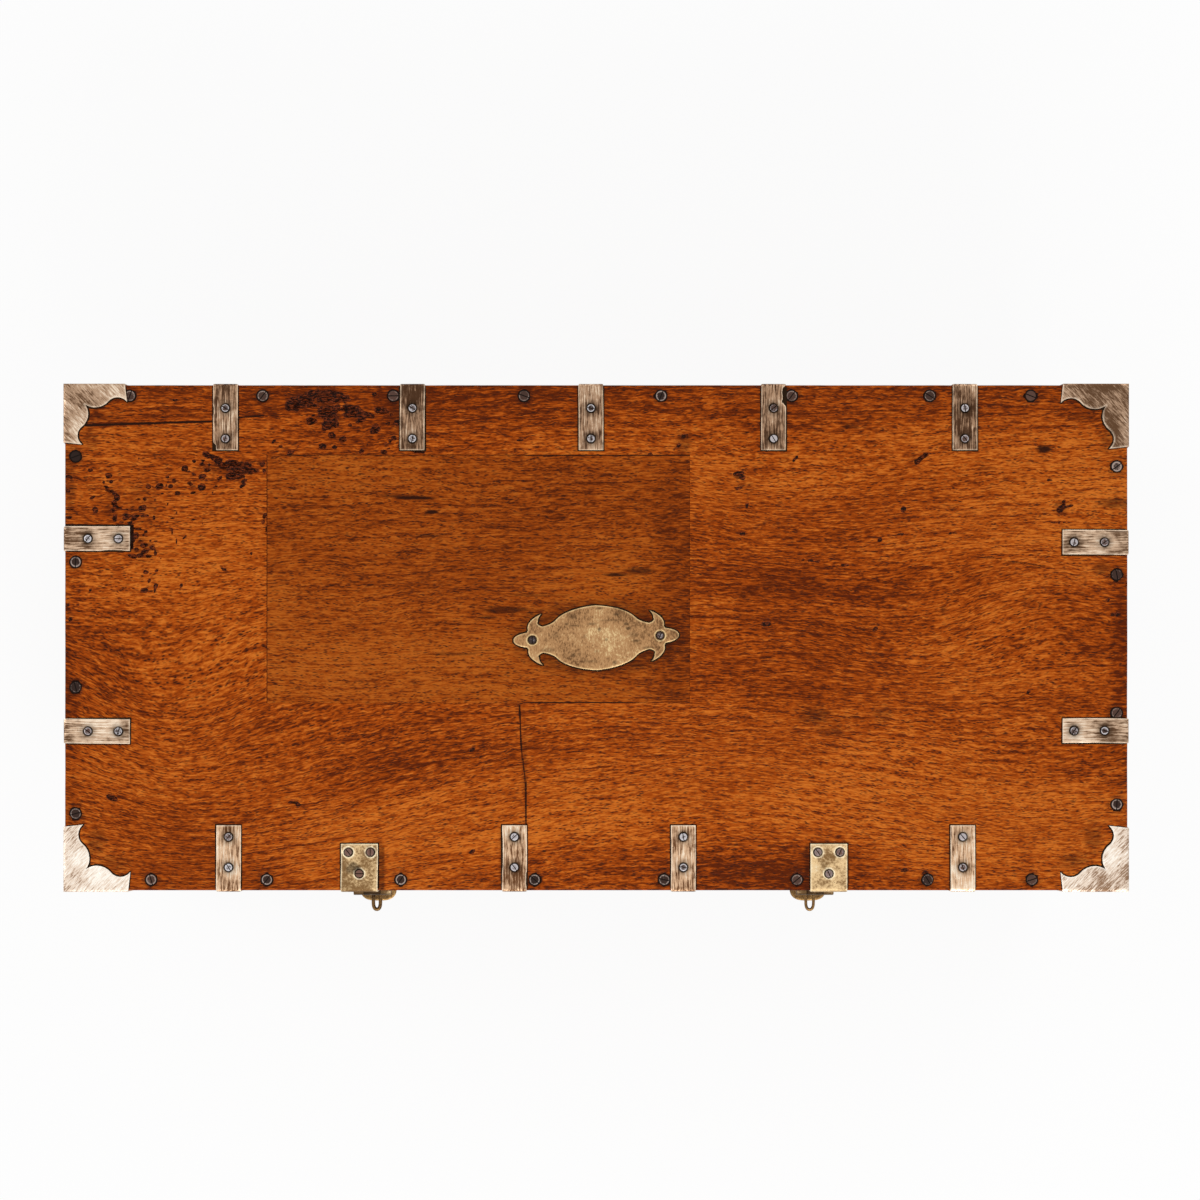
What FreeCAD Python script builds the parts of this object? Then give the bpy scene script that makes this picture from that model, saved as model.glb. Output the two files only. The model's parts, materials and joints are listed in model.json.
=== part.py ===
import FreeCAD, Part
import collections
import math
import os
import types

import Sketcher

# A brass-bound teak chest with a lift-up lid. X runs along its length, -Y is its front and
# Z is up. The origin is on the floor, under the middle of the chest with its eyes and hinges.

# Driving sizes in millimetres, one cell of the sheet each
SIZES = {
    # the whole chest, over the wood
    "chest_length": 1100.0,
    "chest_depth": 523.0,
    "chest_height": 520.0,
    "lid_height": 112.0,
    # boards
    "board_thickness": 22.0,
    "top_board_thickness": 18.0,
    "top_board_easing": 1.0,
    "floor_thickness": 16.0,
    "pin_end_width": 10.0,
    "pin_root_width": 18.0,
    "inset_thickness": 6.0,
    # base
    "moulding_height": 26.0,
    "moulding_proud": 9.0,
    "foot_height": 75.0,
    "foot_length": 130.0,
    "foot_thickness": 20.0,
    "foot_proud": 6.0,
    "glue_block_side": 30.0,
    "glue_block_height": 60.0,
    # sheet brass on the wood
    "brass_thickness": 1.5,
    "corner_reach": 64.0,
    "corner_easing": 1.2,
    "strap_width": 25.4,
    "strap_leg": 67.3,
    "strap_drop": 64.0,
    "centre_plate_length": 171.0,
    "centre_plate_height": 67.0,
    # screws
    "edge_screw_radius": 6.2,
    "edge_screw_head": 4.2,
    "edge_screw_shank": 2.6,
    "edge_screw_length": 44.0,
    "edge_screw_clearance": 0.6,
    "small_screw_radius": 3.9,
    "small_screw_head": 2.4,
    "small_screw_shank": 1.9,
    "small_screw_length": 15.0,
    "small_screw_depth": 0.3,
    "countersink_radius": 5.4,
    "countersink_clearance": 0.1,
    # back hinges
    "hinge_width": 70.0,
    "hinge_leaf_height": 50.0,
    "hinge_leaf_thickness": 2.0,
    "hinge_knuckle_radius": 6.0,
    "hinge_pin_radius": 2.5,
    "pin_clearance": 0.05,
    "turning_gap": 0.3,
    # hasps and their eyes
    "hasp_width": 38.0,
    "hasp_leg": 48.2,
    "hasp_thickness": 1.8,
    "hasp_barrel_length": 40.0,
    "hasp_barrel_inset": 5.0,
    "hasp_middle_knuckle": 18.0,
    "hasp_knuckle_radius": 5.6,
    "hasp_pin_radius": 1.9,
    "hasp_pin_above_joint": 8.0,
    "hasp_pin_stand": 6.4,
    "tongue_width": 40.0,
    "tongue_length": 84.0,
    "tongue_thickness": 2.4,
    "tongue_shoulder": 28.0,
    "tongue_lip_radius": 6.0,
    "tongue_lip_reach": 24.0,
    "slot_width": 17.0,
    "slot_height": 16.0,
    "eye_below_pin": 60.0,
    "eye_wire_radius": 1.65,
    "eye_width": 12.0,
    "eye_reach": 34.0,
    "eye_grip": 17.0,
    "eye_plate_width": 48.0,
    "eye_plate_height": 34.0,
    # end handles
    "handle_below_joint": 73.0,
    "handle_plate_length": 164.0,
    "handle_plate_height": 58.0,
    "handle_plate_thickness": 2.5,
    "ear_thickness": 6.0,
    "ear_radius": 7.0,
    "ear_reach": 9.5,
    "bail_width": 102.0,
    "bail_drop": 52.0,
    "bail_radius": 4.4,
    "bail_bend_radius": 16.0,
    "bail_pivot_radius": 3.0,
    # tools for cutting and for finding edges
    "cut_overrun": 2.0,
    "same_place": 0.01,
}

# Counts
CASE_TAILS = 6
RIM_TAILS = 2
FLOOR_PLANKS = 3
SCREW_SIDES = 8
WIRE_SIDES = 8
BORE_SIDES = 8
KNUCKLE_SIDES = 12
BEND_CHORDS = 2
EDGE_CHORDS = 4

# Places along the chest's length or depth, as shares of it from the middle
BACK_SCREW_SHARES = (-0.439, -0.314, -0.191, -0.068, 0.061, 0.184, 0.314, 0.409)
FRONT_SCREW_SHARES = (-0.419, -0.310, -0.184, -0.058, 0.064, 0.189, 0.312, 0.410)
LEFT_SCREW_SHARES = (0.359, 0.150, -0.098, -0.348)
RIGHT_SCREW_SHARES = (0.339, 0.125, -0.149, -0.330)
BACK_STRAP_SHARES = (-0.349, -0.173, -0.005, 0.167, 0.347)
FRONT_STRAP_SHARES = (-0.346, -0.077, 0.082, 0.345)
LEFT_STRAP_SHARES = (0.196, -0.185)
RIGHT_STRAP_SHARES = (0.189, -0.184)
HASP_SHARES = {"left": -0.223, "right": 0.219}
HINGE_SHARES = {"left": -0.26, "right": 0.26}
INSET_LENGTH_SHARES = (-0.310, 0.088)
INSET_DEPTH_SHARES = (-0.129, 0.362)

# Places on a fitting, as shares of its own sizes
STRAP_SCREW_SHARES = (0.354, 0.823)
HASP_SCREW_SHARES = ((-0.30, 0.82), (0.30, 0.82), (0.0, 0.36))
CENTRE_PLATE_SCREW_SHARE = 0.775
HANDLE_SCREW_SHARES = ((-0.42, 0.0), (0.42, 0.0), (0.0, 0.34), (0.0, -0.34))
HINGE_SCREW_SHARES = (-0.32, 0.32)
HINGE_SCREW_HEIGHT_SHARE = 0.60
EYE_SCREW_SHARE = 0.36

# Outlines as shares, each entry a corner or a bow that the side is bent through
CORNER_LEG_SHARES = (
    ("corner", 1.0, 0.28),
    ("bow", 0.835, 0.205),
    ("corner", 0.70, 0.275),
    ("bow", 0.50, 0.375),
    ("corner", 0.32, 0.32),
)
CORNER_END_SHARE = 0.965
CENTRE_PLATE_QUARTER_SHARES = (
    ("corner", 0.0, 1.0),
    ("bow", 0.257, 0.887),
    ("corner", 0.491, 0.554),
    ("bow", 0.626, 0.351),
    ("corner", 0.708, 0.402),
    ("bow", 0.729, 0.574),
    ("corner", 0.690, 0.738),
    ("bow", 0.801, 0.551),
    ("corner", 0.839, 0.217),
    ("bow", 0.924, 0.167),
)
FOOT_OUTLINE_SHARES = (
    ("corner", 0.0, 0.0),
    ("corner", 0.40, 0.0),
    ("bow", 0.44, 0.33),
    ("corner", 0.60, 0.55),
    ("corner", 0.66, 0.55),
    ("bow", 0.82, 0.63),
    ("corner", 0.92, 0.86),
    ("corner", 1.0, 0.86),
    ("corner", 1.0, 1.0),
    ("corner", 0.0, 1.0),
)
MOULDING_OUTLINE_SHARES = (
    ("corner", 0.0, 0.0),
    ("corner", 1.0, 0.0),
    ("corner", 1.0, 0.40),
    ("bow", 0.85, 0.72),
    ("corner", 0.33, 0.86),
    ("corner", 0.33, 1.0),
    ("corner", 0.0, 1.0),
)
HANDLE_PLATE_QUARTER_SHARES = (
    ("corner", 0.0, 1.0),
    ("corner", 0.52, 1.0),
    ("bow", 0.66, 0.62),
    ("corner", 0.80, 0.50),
    ("bow", 0.95, 0.36),
)
TONGUE_CHEEK_SHARES = (
    ("corner", 0.0, 0.75),
    ("bow", 0.3, 0.2),
    ("corner", 1.0, 0.0),
)
CENTRE_PLATE_TURN_DEGREES = 2.0
DIAGONAL_SHARE = math.sqrt(0.5)


class Length:
    """A length in millimetres, with the sheet formula that gives it."""

    def __init__(self, formula, value):
        self.formula = formula
        self.value = value

    def __add__(self, other):
        return Length(f"({self.formula} + {other.formula})", self.value + other.value)

    def __sub__(self, other):
        return Length(f"({self.formula} - {other.formula})", self.value - other.value)

    def __mul__(self, share):
        return Length(f"({self.formula} * {share})", self.value * share)

    def __truediv__(self, count):
        return Length(f"({self.formula} / {count})", self.value / count)

    def __neg__(self):
        return Length(f"(0 - {self.formula})", -self.value)


ZERO = Length("0", 0.0)
Corner = collections.namedtuple("Corner", "x y")
Bow = collections.namedtuple("Bow", "x y")
Circle = collections.namedtuple("Circle", "x y radius")
KINDS = {"corner": Corner, "bow": Bow}

doc = FreeCAD.newDocument("damchiya_chest")
sheet = doc.addObject("Spreadsheet::Sheet", "sizes")
for row, (alias, size) in enumerate(SIZES.items(), start=1):
    sheet.set(f"A{row}", alias)
    sheet.set(f"B{row}", str(size))
    sheet.setAlias(f"B{row}", alias)
doc.recompute()
s = types.SimpleNamespace(**{alias: Length(f"sizes.{alias}", float(sheet.get(alias))) for alias in SIZES})
nodes = []


# Planes and levels that several pieces share
half_length = s.chest_length / 2
half_depth = s.chest_depth / 2
case_middle = (s.eye_reach - s.hinge_knuckle_radius * 2 - s.turning_gap) / 2
front = case_middle - half_depth
back = case_middle + half_depth
floor_low = s.foot_height
floor_high = floor_low + s.floor_thickness
joint = s.chest_height - s.lid_height
rim_high = s.chest_height - s.top_board_thickness
moulding_high = floor_low + s.moulding_height
half_strap = s.strap_width / 2
hinge_axis_y = back + s.hinge_knuckle_radius + s.turning_gap
hasp_axis_z = joint + s.hasp_pin_above_joint
eye_z = hasp_axis_z - s.eye_below_pin
bail_axis_out = s.handle_plate_thickness + s.ear_reach
bail_axis_z = joint - s.handle_below_joint


def along_x(share):
    return s.chest_length * share


def along_y(share):
    return case_middle + s.chest_depth * share


def signed(sign, length):
    return length if sign > 0 else -length


def side_x(sign, out):
    """A place out from the chest's left or right face."""
    return signed(sign, half_length + out)


def side_y(sign, out):
    """A place out from the chest's front or back face."""
    return case_middle + signed(sign, half_depth + out)


def low_of(first, second):
    """The lower of two places, and the distance between them."""
    low, high = sorted((first, second), key=lambda place: place.value)
    return low, high - low


# Drawing and shaping


def bind(thing, path, length):
    if length.formula != ZERO.formula:
        thing.setExpression(path, length.formula)


def vector(x, y, z=ZERO):
    return FreeCAD.Vector(x.value, y.value, z.value)


PLANE_SIGNS = {"XY_Plane": 1, "XZ_Plane": -1, "YZ_Plane": 1}


def new_sketch(body, name, plane, start):
    """An empty sketch on one of the body's origin planes, moved along that plane's axis to start."""
    sketch = body.newObject("Sketcher::SketchObject", name)
    support = next(feature for feature in body.Origin.OriginFeatures if feature.Role == plane)
    sketch.AttachmentSupport = [(support, "")]
    sketch.MapMode = "FlatFace"
    bind(sketch, "AttachmentOffset.Base.z", start if PLANE_SIGNS[plane] > 0 else -start)
    return sketch


def sides_of(outline, closed):
    """The sides of an outline, each as its start, its bow or None, and its end."""
    loop = list(outline) + list(outline[:1] if closed else ())
    sides = []
    start = loop[0]
    bow = None
    for point in loop[1:]:
        if isinstance(point, Bow):
            bow = point
            continue
        sides.append((start, bow, point))
        start = point
        bow = None
    return sides


def draw(sketch, outline, closed=True):
    """Draw an outline, join its sides and hold every corner and bow at its place."""
    constraints = []
    formulas = []

    def hold(geometry, end, point):
        for kind, length in (("DistanceX", point.x), ("DistanceY", point.y)):
            constraints.append(Sketcher.Constraint(kind, -1, 1, geometry, end, length.value))
            formulas.append(length.formula)

    def relate(*words):
        constraints.append(Sketcher.Constraint(*words))
        formulas.append(ZERO.formula)

    drawn = []
    sides = sides_of(outline, closed)
    for start, bow, end in sides:
        first, last = 1, 2
        if bow is None:
            line = Part.LineSegment(vector(start.x, start.y), vector(end.x, end.y))
            geometry = sketch.addGeometry(line)
        else:
            points = [vector(point.x, point.y) for point in (start, bow, end)]
            if (points[1] - points[0]).cross(points[2] - points[1]).z < 0:
                points.reverse()
                first, last = 2, 1
            geometry = sketch.addGeometry(Part.Arc(*points))
            mark = sketch.addGeometry(Part.Point(points[1]), True)
            relate("PointOnObject", mark, 1, geometry)
            hold(mark, 1, bow)
        hold(geometry, first, start)
        drawn.append((geometry, first, last))
    for (geometry, _, last), (follower, first, _) in zip(drawn, drawn[1:]):
        relate("Coincident", geometry, last, follower, first)
    if closed:
        relate("Coincident", drawn[-1][0], drawn[-1][2], drawn[0][0], drawn[0][1])
    else:
        hold(drawn[-1][0], drawn[-1][2], sides[-1][2])
    known = sketch.ConstraintCount
    sketch.addConstraint(constraints)
    for index, formula in enumerate(formulas, start=known):
        if formula != ZERO.formula:
            sketch.setExpression(f"Constraints[{index}]", formula)


def draw_circle(sketch, circle):
    """Draw a circle with its centre and radius held."""
    ring = Part.Circle(vector(circle.x, circle.y), FreeCAD.Vector(0, 0, 1), circle.radius.value)
    geometry = sketch.addGeometry(ring)
    known = sketch.ConstraintCount
    sketch.addConstraint([
        Sketcher.Constraint("DistanceX", -1, 1, geometry, 3, circle.x.value),
        Sketcher.Constraint("DistanceY", -1, 1, geometry, 3, circle.y.value),
        Sketcher.Constraint("Radius", geometry, circle.radius.value),
    ])
    for index, length in enumerate(circle, start=known):
        bind(sketch, f"Constraints[{index}]", length)


def chorded(outline, count, closed=True):
    """The same outline with each bow drawn as a few chords, for what repeats and is small."""
    points = [outline[0]]
    for start, bow, end in sides_of(outline, closed):
        for step in range(1, count) if bow else ():
            t = step / count
            weights = (1 - t) * (1 - 2 * t), 4 * t * (1 - t), t * (2 * t - 1)
            x = start.x * weights[0] + bow.x * weights[1] + end.x * weights[2]
            y = start.y * weights[0] + bow.y * weights[1] + end.y * weights[2]
            points.append(Corner(x, y))
        points.append(end)
    return points[:-1] if closed else points


def many_sided(x, y, radius, sides):
    """A ring of corners at a radius, for small knuckles, bores and wires."""
    turns = [2 * math.pi * (side + 0.5) / sides for side in range(sides)]
    return [Corner(x + radius * math.cos(turn), y + radius * math.sin(turn)) for turn in turns]


def bore_outline(x, y, radius):
    """A many-sided hole that a round pin of this radius turns in."""
    return many_sided(x, y, radius / math.cos(math.pi / BORE_SIDES), BORE_SIDES)


def shape_from(body, kind, name, plane, start, depth, outlines):
    """A pad or pocket that reaches from start along the plane's axis by depth."""
    sketch = new_sketch(body, name + "_sketch", plane, start)
    for outline in outlines:
        if isinstance(outline, Circle):
            draw_circle(sketch, outline)
        else:
            draw(sketch, outline)
    feature = body.newObject("PartDesign::" + kind, name)
    feature.Profile = sketch
    bind(feature, "Length", depth)
    feature.Reversed = (PLANE_SIGNS[plane] > 0) == (kind == "Pocket")
    sketch.Visibility = False
    return feature


def pad(body, name, plane, start, depth, *outlines):
    return shape_from(body, "Pad", name, plane, start, depth, outlines)


def pocket(body, name, plane, start, depth, *outlines):
    return shape_from(body, "Pocket", name, plane, start, depth, outlines)


def ease_edges(body, name, size, chosen):
    """Take the sharpness off the edges of the body's last feature that the chosen test picks."""
    doc.recompute()
    last = body.Tip
    edges = [f"Edge{index}" for index, edge in enumerate(last.Shape.Edges, start=1) if chosen(edge)]
    feature = body.newObject("PartDesign::Chamfer", name)
    feature.Base = (last, edges)
    bind(feature, "Size", size)
    return feature


def near(first, second):
    return abs(first - second) < s.same_place.value


def rectangle(first_x, second_x, first_y, second_y):
    return [
        Corner(first_x, first_y),
        Corner(second_x, first_y),
        Corner(second_x, second_y),
        Corner(first_x, second_y),
    ]


def from_shares(table, to_x, to_y):
    """An outline from a table of shares. to_x and to_y turn a share into a place."""
    return [KINDS[kind](to_x(across), to_y(up)) for kind, across, up in table]


def four_quarters(table, to_x, to_y):
    """A closed outline from its upper right quarter, mirrored both ways."""
    quarter = list(table) + [("corner", 1.0, 0.0)]
    left = [(kind, -across, up) for kind, across, up in reversed(quarter[1:-1])]
    upper = quarter + [(kind, across, -up) for kind, across, up in reversed(quarter[1:-1])]
    lower = [("corner", 0.0, -quarter[0][2])]
    lower += [(kind, -across, -up) for kind, across, up in quarter[1:]]
    return from_shares(upper + lower + left, to_x, to_y)


def new_body(name):
    body = doc.addObject("PartDesign::Body", name)
    body.Label = name
    return body


def keep(thing, name):
    """Name a finished sub-part and list it among the nodes."""
    thing.Label = name
    nodes.append(thing)
    return thing


def group(name, pieces):
    """Separate solids that share one node."""
    compound = doc.addObject("Part::Compound", name)
    compound.Links = pieces
    return keep(compound, name)


def cut(name, base, tool):
    """The base with the tool's shape cut from it, as a node."""
    result = doc.addObject("Part::Cut", name)
    result.Base = base
    result.Tool = tool
    base.Label = name + "_blank"
    return keep(result, name)


def box(name, first, second):
    """A block between two opposite corners."""
    block = doc.addObject("Part::Box", name)
    for axis, side, one, other in zip("xyz", ("Length", "Width", "Height"), first, second):
        low, reach = low_of(one, other)
        bind(block, "Placement.Base." + axis, low)
        bind(block, side, reach)
    return block


def pin_along_x(name, radius, start, reach, axis_y, axis_z):
    """A straight hinge pin."""
    pin = doc.addObject("Part::Cylinder", name)
    pin.Placement = FreeCAD.Placement(FreeCAD.Vector(), FreeCAD.Rotation(FreeCAD.Vector(0, 1, 0), 90))
    for letter, place in zip("xyz", (start, axis_y, axis_z)):
        bind(pin, "Placement.Base." + letter, place)
    bind(pin, "Radius", radius)
    bind(pin, "Height", reach)
    return pin


# Screws


def ring_of(centre, into, depth, radius):
    """The corners of a many-sided ring round a screw's axis."""
    across = FreeCAD.Vector(1, 0, 0) if abs(into.x) < DIAGONAL_SHARE else FreeCAD.Vector(0, 0, 1)
    beside = into.cross(across)
    middle = centre + into * depth
    turns = [2 * math.pi * (side + 0.5) / SCREW_SIDES for side in range(SCREW_SIDES)]
    return [middle + (across * math.cos(turn) + beside * math.sin(turn)) * radius for turn in turns]


def solid_of(faces):
    solid = Part.Solid(Part.Shell([Part.Face(Part.makePolygon(loop + loop[:1])) for loop in faces]))
    if solid.Volume < 0:
        solid.reverse()
    return solid


def bands(upper, lower):
    """The flat faces between two rings."""
    count = len(upper)
    return [[upper[i], upper[(i + 1) % count], lower[(i + 1) % count], lower[i]] for i in range(count)]


def screw_solid(seat, into, head_radius, head_height, shank_radius, reach):
    """A countersunk wood screw: a head that narrows to the shank, which tapers to a point."""
    top = ring_of(seat, into, 0, head_radius.value)
    neck = ring_of(seat, into, head_height.value, shank_radius.value)
    tip = seat + into * reach.value
    taper = [[neck[i], neck[(i + 1) % len(neck)], tip] for i in range(len(neck))]
    return solid_of([top] + bands(top, neck) + taper)


def countersink_solid(seat, into):
    """What the countersink takes out of a brass plate, cut from just above its face."""
    slope = s.countersink_radius - s.small_screw_radius - s.countersink_clearance
    above = s.cut_overrun
    wide = s.countersink_radius + slope * (above.value / s.brass_thickness.value)
    below = s.brass_thickness + above
    narrow = s.countersink_radius - slope * (below.value / s.brass_thickness.value)
    top = ring_of(seat, into, -above.value, wide.value)
    low = ring_of(seat, into, below.value, max(narrow.value, s.small_screw_shank.value))
    return solid_of([top] + bands(top, low) + [low])


def shape_feature(name, solids):
    feature = doc.addObject("Part::Feature", name)
    feature.Shape = Part.makeCompound(solids)
    return feature


def small_screws(name, seats):
    """The screws of one fitting and the countersinks that they sit in."""
    sizes = (s.small_screw_radius, s.small_screw_head, s.small_screw_shank, s.small_screw_length)
    sunk = [(seat + into * s.small_screw_depth.value, into) for seat, into in seats]
    screws = shape_feature(name + "_screws", [screw_solid(seat, into, *sizes) for seat, into in sunk])
    sinks = shape_feature(name + "_countersinks", [countersink_solid(seat, into) for seat, into in seats])
    return screws, sinks


DOWN = FreeCAD.Vector(0, 0, -1)
chest_screws = []
lid_screws = []


# Dovetailed frames: the tails are on the front and back boards, and the pins on the ends are
# marked from them.


def tail_outline(low, high, tails):
    """A front or back board seen from the front, with its row of tails at both ends."""
    end = half_length
    root = half_length - s.board_thickness
    wide = s.pin_root_width / 2
    narrow = s.pin_end_width / 2
    pitch = (high - low) / tails
    right = [Corner(root, low)]
    for tail in range(tails):
        foot = low + pitch * tail
        crest = low + pitch * (tail + 1)
        right.append(Corner(root, foot + wide))
        right.append(Corner(end, foot + narrow))
        right.append(Corner(end, crest - narrow))
        right.append(Corner(root, crest - wide))
    right.append(Corner(root, high))
    return right + [Corner(-corner.x, corner.y) for corner in reversed(right)]


def dovetailed_frame(names, low, high, tails):
    """Four boards joined at the corners with through dovetails."""
    front_name, back_name, left_name, right_name = names
    tail_boards = []
    for name, start in ((front_name, front), (back_name, back - s.board_thickness)):
        board = new_body(name)
        pad(board, name + "_pad", "XZ_Plane", start, s.board_thickness, tail_outline(low, high, tails))
        tail_boards.append(keep(board, name))
    scribe = doc.addObject("Part::Compound", front_name + "_scribe")
    scribe.Links = tail_boards
    for name, sign in ((left_name, -1), (right_name, 1)):
        inner = signed(sign, half_length - s.board_thickness)
        blank = box(name + "_blank", (inner, front, low), (signed(sign, half_length), back, high))
        cut(name, blank, scribe)


# Chest carcase


def carcase():
    names = ("front_board", "back_board", "left_end_board", "right_end_board")
    dovetailed_frame(names, floor_high, joint, CASE_TAILS)
    planks = []
    plank_width = s.chest_depth / FLOOR_PLANKS
    for index in range(FLOOR_PLANKS):
        near_side = front + plank_width * index
        far_side = near_side + plank_width
        corners = ((-half_length, near_side, floor_low), (half_length, far_side, floor_high))
        planks.append(box(f"floor_plank_{index + 1}", *corners))
    group("floor_planks", planks)


def mitre(body, name, low, high, corner, inner, away):
    """Cut a piece to 45 degrees on the line from corner to inner. away is on the side that goes."""
    over = s.cut_overrun
    outline = [Corner(*corner), Corner(*inner), Corner(*away)]
    pocket(body, name, "XY_Plane", low - over, high - low + over * 2, outline)


def base_moulding():
    proud = s.moulding_proud

    def up(share):
        return floor_low + s.moulding_height * share

    outer_y = front - proud
    piece = new_body("base_moulding_front")
    outline = from_shares(MOULDING_OUTLINE_SHARES, lambda share: front - proud * share, up)
    reach = s.chest_length + proud * 2
    pad(piece, "moulding_front_pad", "YZ_Plane", -half_length - proud, reach, outline)
    for sign in (-1, 1):
        corner = (side_x(sign, proud), outer_y)
        inner = (side_x(sign, ZERO), front)
        away = (side_x(sign, proud), front)
        mitre(piece, "moulding_front_mitre", floor_low, moulding_high, corner, inner, away)
    keep(piece, "base_moulding_front")
    for side, sign in (("left", -1), ("right", 1)):
        name = f"base_moulding_{side}"
        piece = new_body(name)
        outline = from_shares(MOULDING_OUTLINE_SHARES, lambda share: side_x(sign, proud * share), up)
        pad(piece, name + "_pad", "XZ_Plane", outer_y, back - outer_y, outline)
        corner = (side_x(sign, proud), outer_y)
        inner = (side_x(sign, ZERO), front)
        away = (side_x(sign, ZERO), outer_y)
        mitre(piece, name + "_mitre", floor_low, moulding_high, corner, inner, away)
        keep(piece, name)


def foot(name, sign_x, sign_y):
    """A bracket foot: two brackets mitred at the corner, with a glue block behind them."""
    thick = s.foot_thickness
    out_y = s.foot_proud if sign_y < 0 else ZERO

    def x_at(inward):
        return side_x(sign_x, s.foot_proud - inward)

    def y_at(inward):
        return side_y(sign_y, out_y - inward)

    def up(share):
        return s.foot_height * share

    brackets = []
    for run, plane, to_run in (("long", "XZ_Plane", x_at), ("short", "YZ_Plane", y_at)):
        bracket = new_body(f"{name}_{run}_bracket")
        outline = from_shares(FOOT_OUTLINE_SHARES, lambda share: to_run(s.foot_length * share), up)
        outline = chorded(outline, EDGE_CHORDS)
        across = y_at if run == "long" else x_at
        start, depth = low_of(across(ZERO), across(thick))
        pad(bracket, f"{name}_{run}_pad", plane, start, depth, outline)
        corner = (x_at(ZERO), y_at(ZERO))
        inner = (x_at(thick), y_at(thick))
        away = (x_at(ZERO), y_at(thick)) if run == "long" else (x_at(thick), y_at(ZERO))
        mitre(bracket, f"{name}_{run}_mitre", ZERO, s.foot_height, corner, inner, away)
        brackets.append(bracket)
    side = thick + s.glue_block_side
    low = s.foot_height - s.glue_block_height
    corners = ((x_at(thick), y_at(thick), low), (x_at(side), y_at(side), s.foot_height))
    group(name, brackets + [box(name + "_glue_block", *corners)])


# Sheet brass


def corner_flange(to_first, to_second):
    """One flange of a corner bracket, from its outer corner, in two directions along the edges."""
    reach = s.corner_reach
    lap = -s.brass_thickness
    other_leg = tuple((kind, across, along) for kind, along, across in reversed(CORNER_LEG_SHARES[:-1]))
    legs = CORNER_LEG_SHARES + other_leg
    curve = from_shares(legs, lambda share: to_first(reach * share), lambda share: to_second(reach * share))
    end = reach * CORNER_END_SHARE
    start = [Corner(to_first(lap), to_second(lap)), Corner(to_first(end), to_second(lap))]
    return chorded(start + curve + [Corner(to_first(lap), to_second(end))], EDGE_CHORDS)


def corner_bracket(name, sign_x, sign_y, level, upward, capped):
    """A folded brass corner. Its two side flanges run up or down from level, and a lid's has a top."""
    body = new_body(name)
    thick = s.brass_thickness

    def x_at(inward):
        return side_x(sign_x, -inward)

    def y_at(inward):
        return side_y(sign_y, -inward)

    def z_at(run):
        return level + run if upward else level - run

    if capped:
        pad(body, name + "_top", "XY_Plane", level, thick, corner_flange(x_at, y_at))
    start, depth = low_of(side_y(sign_y, ZERO), side_y(sign_y, thick))
    pad(body, name + "_long_side", "XZ_Plane", start, depth, corner_flange(x_at, z_at))
    start, depth = low_of(side_x(sign_x, ZERO), side_x(sign_x, thick))
    pad(body, name + "_short_side", "YZ_Plane", start, depth, corner_flange(y_at, z_at))
    outer_x = side_x(sign_x, thick).value
    outer_y = side_y(sign_y, thick).value
    outer_z = z_at(-thick).value

    def on_fold(edge):
        ends = [vertex.Point for vertex in edge.Vertexes]
        on_x = all(near(point.x, outer_x) for point in ends)
        on_y = all(near(point.y, outer_y) for point in ends)
        on_z = all(near(point.z, outer_z) for point in ends)
        return (on_x and on_y) or (capped and on_z and (on_x or on_y))

    ease_edges(body, name + "_easing", s.corner_easing, on_fold)
    return body


def strap_profile(to_out, to_up, leg, drop, thick):
    """A strap seen from its edge: a leg on the lid's top, a bend and a drop down the rim."""
    bend = thick * DIAGONAL_SHARE
    outline = [
        Corner(to_out(-leg), to_up(ZERO)),
        Corner(to_out(ZERO), to_up(ZERO)),
        Corner(to_out(ZERO), to_up(-drop)),
        Corner(to_out(thick), to_up(-drop)),
        Corner(to_out(thick), to_up(ZERO)),
        Bow(to_out(bend), to_up(bend)),
        Corner(to_out(ZERO), to_up(thick)),
        Corner(to_out(-leg), to_up(thick)),
    ]
    return chorded(outline, BEND_CHORDS)


def above_top(height):
    return s.chest_height + height


def strap(name, side, share, reliefs):
    """A brass strap over one edge of the lid. side is front, back, left or right."""
    sign = 1 if side in ("back", "right") else -1
    thick = s.brass_thickness
    body = new_body(name)
    rows = [s.strap_leg * place for place in STRAP_SCREW_SHARES]
    brass_top = above_top(thick)
    if side in ("front", "back"):
        middle = along_x(share)
        profile = strap_profile(lambda out: side_y(sign, out), above_top, s.strap_leg, s.strap_drop, thick)
        pad(body, name + "_pad", "YZ_Plane", middle - half_strap, s.strap_width, profile)
        seats = [(vector(middle, side_y(sign, -row), brass_top), DOWN) for row in rows]
    else:
        middle = along_y(share)
        profile = strap_profile(lambda out: side_x(sign, out), above_top, s.strap_leg, s.strap_drop, thick)
        pad(body, name + "_pad", "XZ_Plane", middle - half_strap, s.strap_width, profile)
        seats = [(vector(side_x(sign, -row), middle, brass_top), DOWN) for row in rows]
    screws, sinks = small_screws(name, seats)
    lid_screws.append(screws)
    tools = doc.addObject("Part::Compound", name + "_cuts")
    tools.Links = [sinks, reliefs]
    cut(name, body, tools)


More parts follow.
